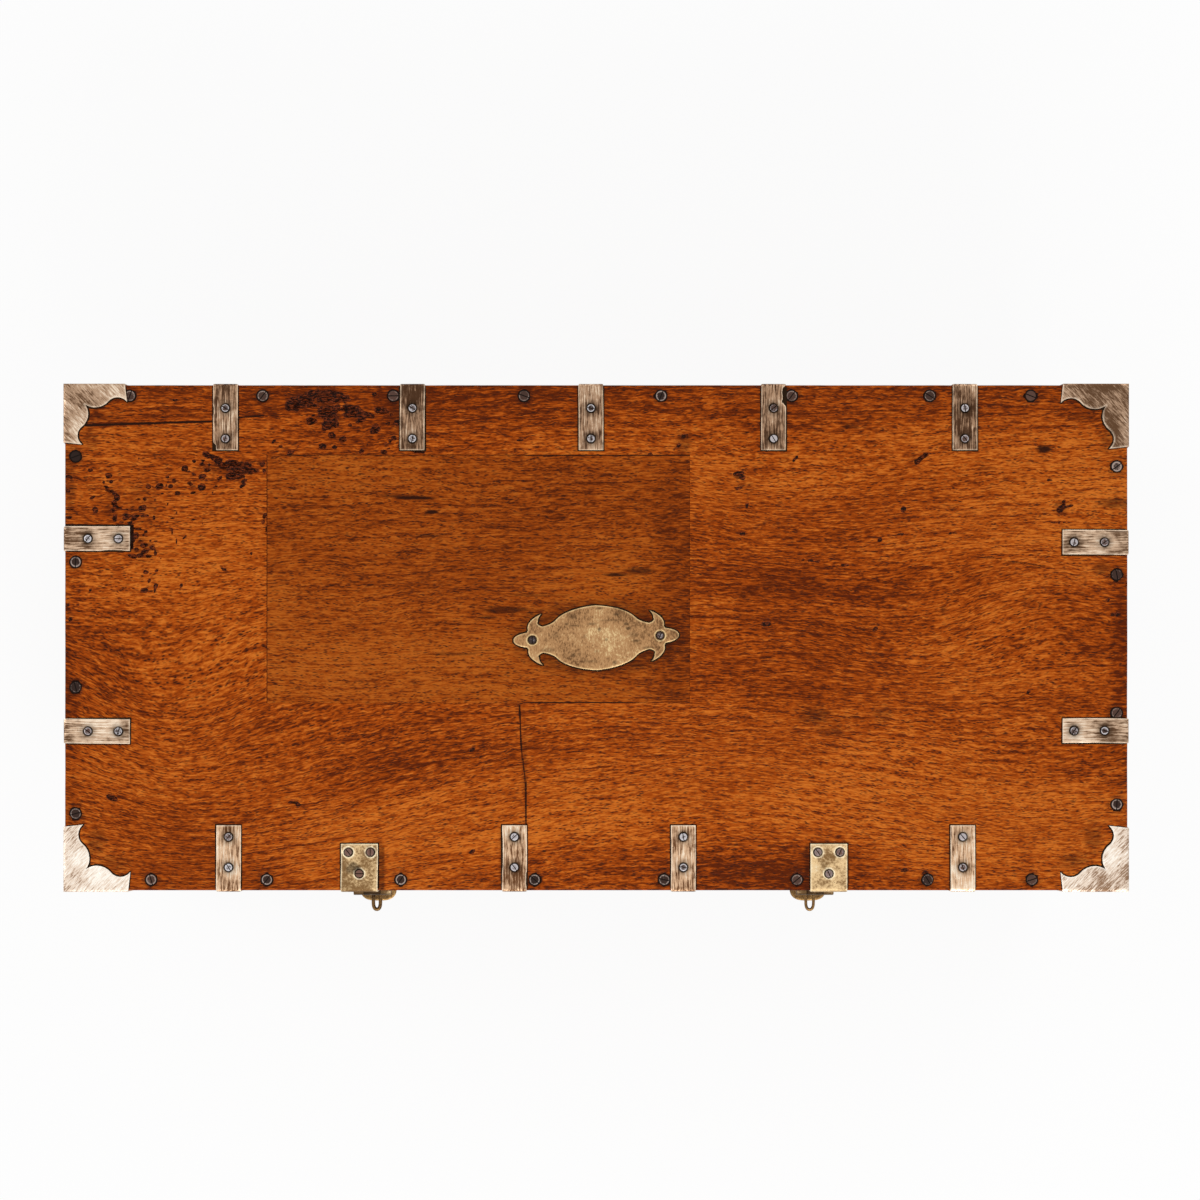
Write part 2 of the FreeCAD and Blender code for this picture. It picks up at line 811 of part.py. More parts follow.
def centre_plate():
    """The pointed plate with curled horns, let lie a little askew as on the old lid."""
    name = "lid_centre_plate"
    body = new_body(name)
    half_plate = s.centre_plate_length / 2
    half_tall = s.centre_plate_height / 2

    def to_x(share):
        return half_plate * share

    def to_y(share):
        return half_tall * share

    outline = four_quarters(CENTRE_PLATE_QUARTER_SHARES, to_x, to_y)
    pad(body, name + "_pad", "XY_Plane", ZERO, s.brass_thickness, outline)
    turn = FreeCAD.Rotation(FreeCAD.Vector(0, 0, 1), CENTRE_PLATE_TURN_DEGREES)
    body.Placement = FreeCAD.Placement(FreeCAD.Vector(), turn)
    bind(body, "Placement.Base.y", case_middle)
    bind(body, "Placement.Base.z", s.chest_height)
    middle = vector(ZERO, case_middle, above_top(s.brass_thickness))
    arm = turn.multVec(FreeCAD.Vector(half_plate.value * CENTRE_PLATE_SCREW_SHARE, 0, 0))
    screws, sinks = small_screws(name, [(middle - arm, DOWN), (middle + arm, DOWN)])
    lid_screws.append(screws)
    cut(name, body, sinks)


# Back hinges


def hinge(side):
    """A three-knuckle hinge on the back: the lower leaf has the outer knuckles, the upper the middle."""
    middle = along_x(HINGE_SHARES[side])
    half_width = s.hinge_width / 2
    third = s.hinge_width / 6
    gap = s.turning_gap / 2
    relief = s.hinge_knuckle_radius + s.turning_gap
    thick = s.hinge_leaf_thickness
    barrel = many_sided(hinge_axis_y, joint, s.hinge_knuckle_radius, KNUCKLE_SIDES)
    bore = bore_outline(hinge_axis_y, joint, s.hinge_pin_radius + s.pin_clearance)
    far = back + thick

    def leaf(name, sign, screws_of):
        """sign is 1 for the leaf above the joint and -1 for the leaf below it."""

        def up(height):
            return joint + signed(sign, height)

        at_pin = (relief, ZERO) if sign > 0 else (ZERO, relief)
        inner = third - gap if sign > 0 else third + gap
        outline = [
            Corner(middle - half_width, up(s.hinge_leaf_height)),
            Corner(middle + half_width, up(s.hinge_leaf_height)),
            Corner(middle + half_width, up(at_pin[0])),
            Corner(middle + inner, up(at_pin[0])),
            Corner(middle + inner, up(at_pin[1])),
            Corner(middle - inner, up(at_pin[1])),
            Corner(middle - inner, up(at_pin[0])),
            Corner(middle - half_width, up(at_pin[0])),
        ]
        body = new_body(name)
        pad(body, name + "_leaf", "XZ_Plane", back, thick, outline)
        if sign > 0:
            pad(body, name + "_knuckle", "YZ_Plane", middle - inner, inner * 2, barrel)
        else:
            reach = half_width - inner
            pad(body, name + "_knuckle", "YZ_Plane", middle - half_width, reach, barrel)
            pad(body, name + "_far_knuckle", "YZ_Plane", middle + inner, reach, barrel)
        over = s.cut_overrun
        pocket(body, name + "_bore", "YZ_Plane", middle - half_width - over, s.hinge_width + over * 2, bore)
        height = up(s.hinge_leaf_height * HINGE_SCREW_HEIGHT_SHARE)
        places = [middle + s.hinge_width * share for share in HINGE_SCREW_SHARES]
        seats = [(vector(place, far, height), FreeCAD.Vector(0, -1, 0)) for place in places]
        screws, sinks = small_screws(name, seats)
        screws_of.append(screws)
        cut(name, body, sinks)

    leaf(f"{side}_hinge_lower_leaf", -1, chest_screws)
    leaf(f"{side}_hinge_upper_leaf", 1, lid_screws)
    name = f"{side}_hinge_pin"
    return pin_along_x(name, s.hinge_pin_radius, middle - half_width, s.hinge_width, hinge_axis_y, joint)


# Hasps


def barrel_middle(side):
    """The hasps' barrels stand a little nearer the chest's middle than their plates."""
    return along_x(HASP_SHARES[side]) + signed(-HASP_SHARES[side], s.hasp_barrel_inset)


def hasp(side):
    """A plate folded over the front edge with a barrel at its foot, and the slotted tongue on its pin."""
    plate_middle = along_x(HASP_SHARES[side])
    middle = barrel_middle(side)
    half_width = s.hasp_width / 2
    half_barrel = s.hasp_barrel_length / 2
    half_middle = s.hasp_middle_knuckle / 2
    gap = s.turning_gap
    over = s.cut_overrun
    thick = s.hasp_thickness
    axis_y = front - s.hasp_pin_stand
    barrel = many_sided(axis_y, hasp_axis_z, s.hasp_knuckle_radius, KNUCKLE_SIDES)
    bore = bore_outline(axis_y, hasp_axis_z, s.hasp_pin_radius + s.pin_clearance)

    def out(distance):
        return front - distance

    name = f"{side}_hasp_plate"
    body = new_body(name)
    drop = s.chest_height - hasp_axis_z
    profile = strap_profile(out, above_top, s.hasp_leg, drop, thick)
    pad(body, name + "_pad", "YZ_Plane", plate_middle - half_width, s.hasp_width, profile)
    side_reach = half_barrel - half_middle
    pad(body, name + "_knuckle", "YZ_Plane", middle - half_barrel, side_reach, barrel)
    pad(body, name + "_far_knuckle", "YZ_Plane", middle + half_middle, side_reach, barrel)
    clear_top = hasp_axis_z + s.hasp_knuckle_radius + gap
    notch = rectangle(middle - half_middle, middle + half_middle, hasp_axis_z - over, clear_top)
    pocket(body, name + "_notch", "XZ_Plane", front - thick - over, thick + over * 2, notch)
    barrel_low = middle - half_barrel - over
    barrel_reach = s.hasp_barrel_length + over * 2
    pocket(body, name + "_bore", "YZ_Plane", barrel_low, barrel_reach, bore)
    seats = []
    for across, inward in HASP_SCREW_SHARES:
        screw_x = plate_middle + s.hasp_width * across
        seats.append((vector(screw_x, front + s.hasp_leg * inward, above_top(thick)), DOWN))
    screws, sinks = small_screws(name, seats)
    lid_screws.append(screws)
    cut(name, body, sinks)

    name = f"{side}_hasp_tongue"
    body = new_body(name)
    blade = s.tongue_thickness
    inner = s.hasp_pin_stand - blade / 2
    outer = inner + blade
    bend = inner + s.tongue_lip_radius
    low = hasp_axis_z - s.tongue_length
    lip = s.tongue_lip_radius
    small = lip - blade
    side_view = [
        Corner(out(inner), hasp_axis_z),
        Corner(out(inner), low + lip),
        Bow(out(bend - lip * DIAGONAL_SHARE), low + lip - lip * DIAGONAL_SHARE),
        Corner(out(bend), low),
        Corner(out(s.tongue_lip_reach), low),
        Corner(out(s.tongue_lip_reach), low + blade),
        Corner(out(bend), low + blade),
        Bow(out(bend - small * DIAGONAL_SHARE), low + lip - small * DIAGONAL_SHARE),
        Corner(out(outer), low + lip),
        Corner(out(outer), hasp_axis_z),
    ]
    half_tongue = s.tongue_width / 2
    neck = half_middle - gap
    side_view = chorded(side_view, EDGE_CHORDS)
    pad(body, name + "_pad", "YZ_Plane", middle - half_tongue, s.tongue_width, side_view)
    shoulder = hasp_axis_z - s.tongue_shoulder
    round_top = hasp_axis_z - s.hasp_knuckle_radius - gap
    cut_start = out(outer + over)
    cut_depth = blade + over * 2
    for sign in (-1, 1):

        def across(share):
            return middle + signed(sign, neck + (half_tongue - neck) * share)

        def up(share):
            return shoulder + (round_top - shoulder) * share

        outside = middle + signed(sign, half_tongue + over)
        curve = from_shares(TONGUE_CHEEK_SHARES, across, up)
        over_top = [Corner(outside, hasp_axis_z + over), Corner(across(0), hasp_axis_z + over)]
        cheek = chorded(curve + [Corner(outside, shoulder)] + over_top, EDGE_CHORDS)
        pocket(body, name + "_cheek", "XZ_Plane", cut_start, cut_depth, cheek)
    half_slot = s.slot_width / 2
    slot_low = eye_z - s.slot_height / 2
    slot = rectangle(middle - half_slot, middle + half_slot, slot_low, slot_low + s.slot_height)
    pocket(body, name + "_slot", "XZ_Plane", cut_start, cut_depth, slot)
    pad(body, name + "_knuckle", "YZ_Plane", middle - neck, neck * 2, barrel)
    pocket(body, name + "_bore", "YZ_Plane", barrel_low, barrel_reach, bore)
    keep(body, name)
    pin = f"{side}_hasp_pin"
    start = middle - half_barrel
    return pin_along_x(pin, s.hasp_pin_radius, start, s.hasp_barrel_length, axis_y, hasp_axis_z)


def wire(body, name, path_plane, path_start, path, profile_plane, profile_start, ring):
    """A bent wire: its section carried along a path."""
    spine = new_sketch(body, name + "_path", path_plane, path_start)
    draw(spine, chorded(path, EDGE_CHORDS, closed=False), closed=False)
    section = new_sketch(body, name + "_section", profile_plane, profile_start)
    draw(section, ring)
    doc.recompute()
    pipe = body.newObject("PartDesign::AdditivePipe", name)
    pipe.Transition = "Right corner"
    pipe.Profile = section
    pipe.Spine = (spine, [f"Edge{index}" for index in range(1, len(spine.Shape.Edges) + 1)])
    spine.Visibility = False
    section.Visibility = False


def eye(side):
    """A wire eye driven into the front board through a small plate, its loop lying flat."""
    middle = barrel_middle(side)
    loop = s.eye_width / 2 - s.eye_wire_radius
    nose = front - s.eye_reach + s.eye_wire_radius
    grip_y = front + s.eye_grip
    name = f"{side}_eye"
    body = new_body(name)
    turn = loop - loop * DIAGONAL_SHARE
    path = [
        Corner(middle - loop, grip_y),
        Corner(middle - loop, nose + loop),
        Bow(middle - loop + turn, nose + turn),
        Corner(middle, nose),
        Bow(middle + loop - turn, nose + turn),
        Corner(middle + loop, nose + loop),
        Corner(middle + loop, grip_y),
    ]
    ring = many_sided(middle - loop, eye_z, s.eye_wire_radius, WIRE_SIDES)
    wire(body, name + "_wire", "XY_Plane", eye_z, path, "XZ_Plane", grip_y, ring)
    keep(body, name)

    thick = s.brass_thickness
    plate = new_body(f"{side}_eye_plate")
    half_width = s.eye_plate_width / 2
    half_height = s.eye_plate_height / 2
    outline = rectangle(middle - half_width, middle + half_width, eye_z - half_height, eye_z + half_height)
    hole = s.eye_wire_radius + s.countersink_clearance
    holes = [many_sided(middle + step, eye_z, hole, WIRE_SIDES) for step in (-loop, loop)]
    pad(plate, f"{side}_eye_plate_pad", "XZ_Plane", front - thick, thick, outline, *holes)
    offsets = [s.eye_plate_width * share for share in (-EYE_SCREW_SHARE, EYE_SCREW_SHARE)]
    seats = [(vector(middle + step, front - thick, eye_z), FreeCAD.Vector(0, 1, 0)) for step in offsets]
    screws, sinks = small_screws(f"{side}_eye_plate", seats)
    chest_screws.append(screws)
    drilled = doc.addObject("Part::Cut", f"{side}_eye_plate_drilled")
    drilled.Base = plate
    drilled.Tool = sinks
    return drilled


# End handles


def handle(side, sign):
    """A plate with two ears, and the bail that swings in them."""
    thick = s.handle_plate_thickness
    half_plate = s.handle_plate_length / 2
    half_tall = s.handle_plate_height / 2
    bail_half = s.bail_width / 2
    axis_x = side_x(sign, bail_axis_out)
    axis_z = bail_axis_z
    gap = s.turning_gap
    over = s.cut_overrun

    def to_y(share):
        return case_middle + half_plate * share

    def to_z(share):
        return axis_z + half_tall * share

    name = f"{side}_handle_plate"
    body = new_body(name)
    outline = chorded(four_quarters(HANDLE_PLATE_QUARTER_SHARES, to_y, to_z), EDGE_CHORDS)
    start, depth = low_of(side_x(sign, ZERO), side_x(sign, thick))
    pad(body, name + "_pad", "YZ_Plane", start, depth, outline)
    ear_inner = bail_half + s.bail_radius + gap
    radius = s.ear_radius
    root_x = side_x(sign, thick / 2)
    round_off = signed(sign, radius * DIAGONAL_SHARE)
    ear_outline = [
        Corner(root_x, axis_z - radius),
        Corner(axis_x, axis_z - radius),
        Bow(axis_x + round_off, axis_z - radius * DIAGONAL_SHARE),
        Corner(axis_x + signed(sign, radius), axis_z),
        Bow(axis_x + round_off, axis_z + radius * DIAGONAL_SHARE),
        Corner(axis_x, axis_z + radius),
        Corner(root_x, axis_z + radius),
    ]
    ear_outline = chorded(ear_outline, BEND_CHORDS)
    bore = bore_outline(axis_x, axis_z, s.bail_pivot_radius + s.pin_clearance)
    for turn in (-1, 1):
        start, depth = low_of(signed(turn, ear_inner), signed(turn, ear_inner + s.ear_thickness))
        pad(body, name + "_ear", "XZ_Plane", case_middle + start, depth, ear_outline)
        begin = case_middle + start - over
        pocket(body, name + "_ear_bore", "XZ_Plane", begin, depth + over * 2, bore)
    face_x = side_x(sign, thick)
    seats = []
    for across, up in HANDLE_SCREW_SHARES:
        place_y = case_middle + s.handle_plate_length * across
        place_z = axis_z + s.handle_plate_height * up
        seats.append((vector(face_x, place_y, place_z), FreeCAD.Vector(-sign, 0, 0)))
    screws, sinks = small_screws(name, seats)
    chest_screws.append(screws)
    cut(name, body, sinks)

    name = f"{side}_bail"
    body = new_body(name)
    bend = s.bail_bend_radius
    corner = bend - bend * DIAGONAL_SHARE
    low = axis_z - s.bail_drop
    head = axis_z + s.bail_radius
    left = case_middle - bail_half
    right = case_middle + bail_half
    path = [
        Corner(left, head),
        Corner(left, low + bend),
        Bow(left + corner, low + corner),
        Corner(left + bend, low),
        Corner(right - bend, low),
        Bow(right - corner, low + corner),
        Corner(right, low + bend),
        Corner(right, head),
    ]
    ring = many_sided(axis_x, left, s.bail_radius, WIRE_SIDES)
    wire(body, name + "_bow", "YZ_Plane", axis_x, path, "XY_Plane", head, ring)
    pivot = Circle(axis_x, axis_z, s.bail_pivot_radius)
    reach = s.bail_radius + gap + s.ear_thickness
    pad(body, name + "_pivot", "XZ_Plane", left - reach, reach, pivot)
    pad(body, name + "_far_pivot", "XZ_Plane", right, reach, pivot)
    keep(body, name)


# Lid


def lid_wood(edge_screws):
    names = ("lid_rim_front", "lid_rim_back", "lid_rim_left", "lid_rim_right")
    dovetailed_frame(names, joint, rim_high, RIM_TAILS)
    name = "lid_top_board"
    board = new_body(name)
    outline = rectangle(-half_length, half_length, front, back)
    pad(board, name + "_pad", "XY_Plane", rim_high, s.top_board_thickness, outline)
    top = s.chest_height.value

    def on_top(edge):
        return all(near(vertex.Z, top) for vertex in edge.Vertexes)

    ease_edges(board, name + "_easing", s.top_board_easing, on_top)
    recess = rectangle(*map(along_x, INSET_LENGTH_SHARES), *map(along_y, INSET_DEPTH_SHARES))
    bed = s.chest_height - s.inset_thickness
    pocket(board, name + "_recess", "XY_Plane", bed, s.inset_thickness + s.cut_overrun, recess)
    cut(name, board, edge_screws)
    panel = new_body("lid_inset_panel")
    pad(panel, "lid_inset_panel_pad", "XY_Plane", bed, s.inset_thickness, recess)
    keep(panel, "lid_inset_panel")


def edge_screw_places():
    """The places of the screws that hold the top board down on the middle of the rim."""
    inward = -s.board_thickness / 2
    places = [(along_x(share), side_y(1, inward)) for share in BACK_SCREW_SHARES]
    places += [(along_x(share), side_y(-1, inward)) for share in FRONT_SCREW_SHARES]
    places += [(side_x(-1, inward), along_y(share)) for share in LEFT_SCREW_SHARES]
    places += [(side_x(1, inward), along_y(share)) for share in RIGHT_SCREW_SHARES]
    return [vector(x, y, s.chest_height) for x, y in places]


def lid_edge_screws(places):
    """The edge screws, and the clearances filed into any brass that comes near them."""
    sizes = (s.edge_screw_radius, s.edge_screw_head, s.edge_screw_shank, s.edge_screw_length)
    screws = shape_feature("lid_edge_screws", [screw_solid(place, DOWN, *sizes) for place in places])
    clear = s.edge_screw_radius + s.edge_screw_clearance
    high = s.brass_thickness + s.cut_overrun
    rounds = [Part.makeCylinder(clear.value, high.value, place) for place in places]
    return keep(screws, "lid_edge_screws"), shape_feature("edge_screw_reliefs", rounds)


def lid():
    edge_screws, reliefs = lid_edge_screws(edge_screw_places())
    lid_wood(edge_screws)
    for side_name, sign_y in (("front", -1), ("back", 1)):
        for end_name, sign_x in (("left", -1), ("right", 1)):
            name = f"lid_corner_{side_name}_{end_name}"
            bracket = corner_bracket(name, sign_x, sign_y, s.chest_height, False, True)
            cut(name, bracket, reliefs)
    rows = {
        "back": BACK_STRAP_SHARES,
        "front": FRONT_STRAP_SHARES,
        "left": LEFT_STRAP_SHARES,
        "right": RIGHT_STRAP_SHARES,
    }
    for side_name, shares in rows.items():
        for index, share in enumerate(shares, start=1):
            strap(f"lid_strap_{side_name}_{index}", side_name, share, reliefs)
    centre_plate()


def chest():
    carcase()
    base_moulding()
    for side_name, sign_y in (("front", -1), ("back", 1)):
        for end_name, sign_x in (("left", -1), ("right", 1)):
            foot(f"foot_{side_name}_{end_name}", sign_x, sign_y)
            name = f"chest_corner_{side_name}_{end_name}"
            level = moulding_high + s.brass_thickness
            keep(corner_bracket(name, sign_x, sign_y, level, True, False), name)
    for end_name, sign_x in (("left", -1), ("right", 1)):
        handle(end_name, sign_x)


chest()
lid()
group("hinge_pins", [hinge(side) for side in HINGE_SHARES])
group("hasp_pins", [hasp(side) for side in HASP_SHARES])
group("eye_plates", [eye(side) for side in HASP_SHARES])
group("lid_fitting_screws", lid_screws)
group("chest_screws", chest_screws)
doc.recompute()

# Nothing is written unless every object is sound and every pocket takes wood or brass away
for thing in doc.Objects:
    if "Invalid" in thing.State or "Error" in thing.State:
        raise RuntimeError(f"{thing.Label} failed")
    if thing.TypeId == "PartDesign::Pocket" and thing.Shape.Volume >= thing.BaseFeature.Shape.Volume:
        raise RuntimeError(f"{thing.Label} cuts nothing")
for node in nodes:
    if node.Shape.isNull() or not node.Shape.isValid():
        raise RuntimeError(f"{node.Label} has no sound shape")

os.makedirs("parts", exist_ok=True)
for node in nodes:
    node.Shape.exportStep(f"parts/{node.Label}.step")
print(f"{len(nodes)} nodes written")
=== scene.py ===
import math
from contextlib import contextmanager

import bpy
import numpy as np
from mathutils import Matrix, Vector
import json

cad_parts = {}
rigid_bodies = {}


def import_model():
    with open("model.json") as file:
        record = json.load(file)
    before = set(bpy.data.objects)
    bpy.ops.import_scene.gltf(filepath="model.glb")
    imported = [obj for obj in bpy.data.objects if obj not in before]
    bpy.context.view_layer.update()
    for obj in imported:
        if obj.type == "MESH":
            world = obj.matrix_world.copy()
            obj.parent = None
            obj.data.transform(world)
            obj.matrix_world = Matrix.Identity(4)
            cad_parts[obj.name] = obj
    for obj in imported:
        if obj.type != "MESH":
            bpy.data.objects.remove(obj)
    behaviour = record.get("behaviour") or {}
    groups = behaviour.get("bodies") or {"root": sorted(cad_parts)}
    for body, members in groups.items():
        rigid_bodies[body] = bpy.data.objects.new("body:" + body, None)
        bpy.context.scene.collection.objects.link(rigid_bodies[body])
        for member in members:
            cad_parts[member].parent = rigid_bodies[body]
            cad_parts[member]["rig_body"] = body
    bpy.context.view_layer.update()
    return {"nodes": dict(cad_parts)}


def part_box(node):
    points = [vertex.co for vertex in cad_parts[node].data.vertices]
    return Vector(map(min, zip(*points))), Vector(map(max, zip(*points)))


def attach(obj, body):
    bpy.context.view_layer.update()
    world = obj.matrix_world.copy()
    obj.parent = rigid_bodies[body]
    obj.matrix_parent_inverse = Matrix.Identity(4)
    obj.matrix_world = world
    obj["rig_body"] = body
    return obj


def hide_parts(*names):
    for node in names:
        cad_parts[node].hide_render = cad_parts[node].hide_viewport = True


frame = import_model()

MM = 0.001
QUARTER = math.pi / 2

# Main planes of the chest, read from its own nodes

board_low, board_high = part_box("lid_top_board")
panel_low, panel_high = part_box("lid_inset_panel")
LEFT, FRONT, RIM_TOP = board_low
RIGHT, BACK, TOP = board_high
LID_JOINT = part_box("front_board")[1].z
MIDDLE_Y = (FRONT + BACK) / 2

# Sizes of the fittings

SHEET = 1.5 * MM
HASP_SHEET = 1.8 * MM
HASP_WIDTH = 38.0 * MM
KNUCKLE = 5.6 * MM
HALF_BARREL = 20.0 * MM
HALF_KNUCKLE = 9.0 * MM
TURNING_GAP = 0.3 * MM
BLADE = 2.4 * MM
TONGUE_LENGTH = 84.0 * MM
TONGUE_SHOULDER = 28.0 * MM
LIP_BEND = 6.0 * MM
BAIL_PIVOT = 2.9 * MM
BAIL_PIVOT_REACH = 6.3 * MM
LIP_REACH = 24.0 * MM
TONGUE_STANDOFF = 5.2 * MM
SLOT_HALF_WIDTH = 8.5 * MM
SLOT_HALF_HEIGHT = 8.0 * MM
SLOT_ROUND = 3.0 * MM
WOOD_EASING = 1.0 * MM
JOINT_EASING = 1.5 * MM
STRAP_CELL = 1.5 * MM
PLATE_CELL = 1.6 * MM
FINE_CELL = 0.9 * MM
RIM_WIDTH = 1.7 * MM
RIM_DROP = 0.3 * MM
# The line of old dark wax round each brass sheet, which is also a painted shadow along its edges: its width,
# its foot and face heights, and how far short of the wood's edge it stops
SHADOW_AND_GRIME = 1.5 * MM
SHADOW_AND_GRIME_FOOT, SHADOW_AND_GRIME_FACE = -0.25 * MM, 0.14 * MM
SHADOW_AND_GRIME_END = 2.0 * MM
HAIR = 0.1 * MM
SMALL_HEAD = 3.9 * MM
SMALL_SINK = 5.4 * MM
EDGE_HEAD = 6.2 * MM
CORNER_REACH = 64.0 * MM
PLATE_LENGTH = 171.0 * MM
PLATE_HEIGHT = 67.0 * MM
PLATE_TURN = math.radians(2.0)

# Outlines as shares of a fitting's size: a corner, or the middle of a bow

CORNER_LEG = (
    ("corner", 1.0, 0.28),
    ("bow", 0.835, 0.205),
    ("corner", 0.70, 0.275),
    ("bow", 0.50, 0.375),
    ("corner", 0.32, 0.32),
)
CENTRE_PLATE_QUARTER = (
    ("corner", 0.0, 1.0),
    ("bow", 0.290, 0.865),
    ("corner", 0.480, 0.592),
    ("bow", 0.560, 0.462),
    ("corner", 0.645, 0.400),
    ("bow", 0.690, 0.450),
    ("corner", 0.700, 0.560),
    ("bow", 0.688, 0.690),
    ("corner", 0.655, 0.790),
    ("bow", 0.770, 0.620),
    ("corner", 0.822, 0.300),
    ("corner", 0.838, 0.225),
    ("bow", 0.940, 0.165),
)

# Small dark dents in the centre plate, in mm from its middle: x, y, half length, half width, strength

PLATE_DENTS = (
    (3.4, 8.7, 2, 2.4, 1), (31.4, 13.4, 3, 1.9, 1), (33.7, 8.7, 3.2, 2, 1), (41.5, -4.5, 5, 1.7, 0.8),
    (22, 23.5, 4.6, 1.6, 0.85), (4.2, 30.4, 4, 1.5, 0.9), (-23.8, 22.7, 6, 4, 0.5),
    (10.4, -2.2, 1.7, 1.7, 0.9), (-24.5, -16.9, 2.4, 2.4, 0.8), (-18.3, -16.2, 1.8, 1.8, 0.8),
    (18.2, -26.2, 2.6, 2.4, 1), (-30, 15.4, 2.8, 1.5, 0.9), (-22, 13.4, 8, 1.2, 0.6), (-4, 14.6, 6, 1.4, 0.7),
    (16, 17.6, 14, 1.1, 0.6), (-50, -11, 8, 2.8, 0.6), (0, -14, 3, 1.6, 0.4), (-12, 2, 2.2, 2.2, 0.4),
    (52, -12, 5, 1.8, 0.7), (-8, -24, 10, 1.6, 0.5), (38, 2, 6, 3, 0.45), (-42, 4, 6, 3, 0.4),
)

# Borer holes and gouges in the lid, in mm from the chest's middle: x, y, half length, half width,
# turn in degrees and depth

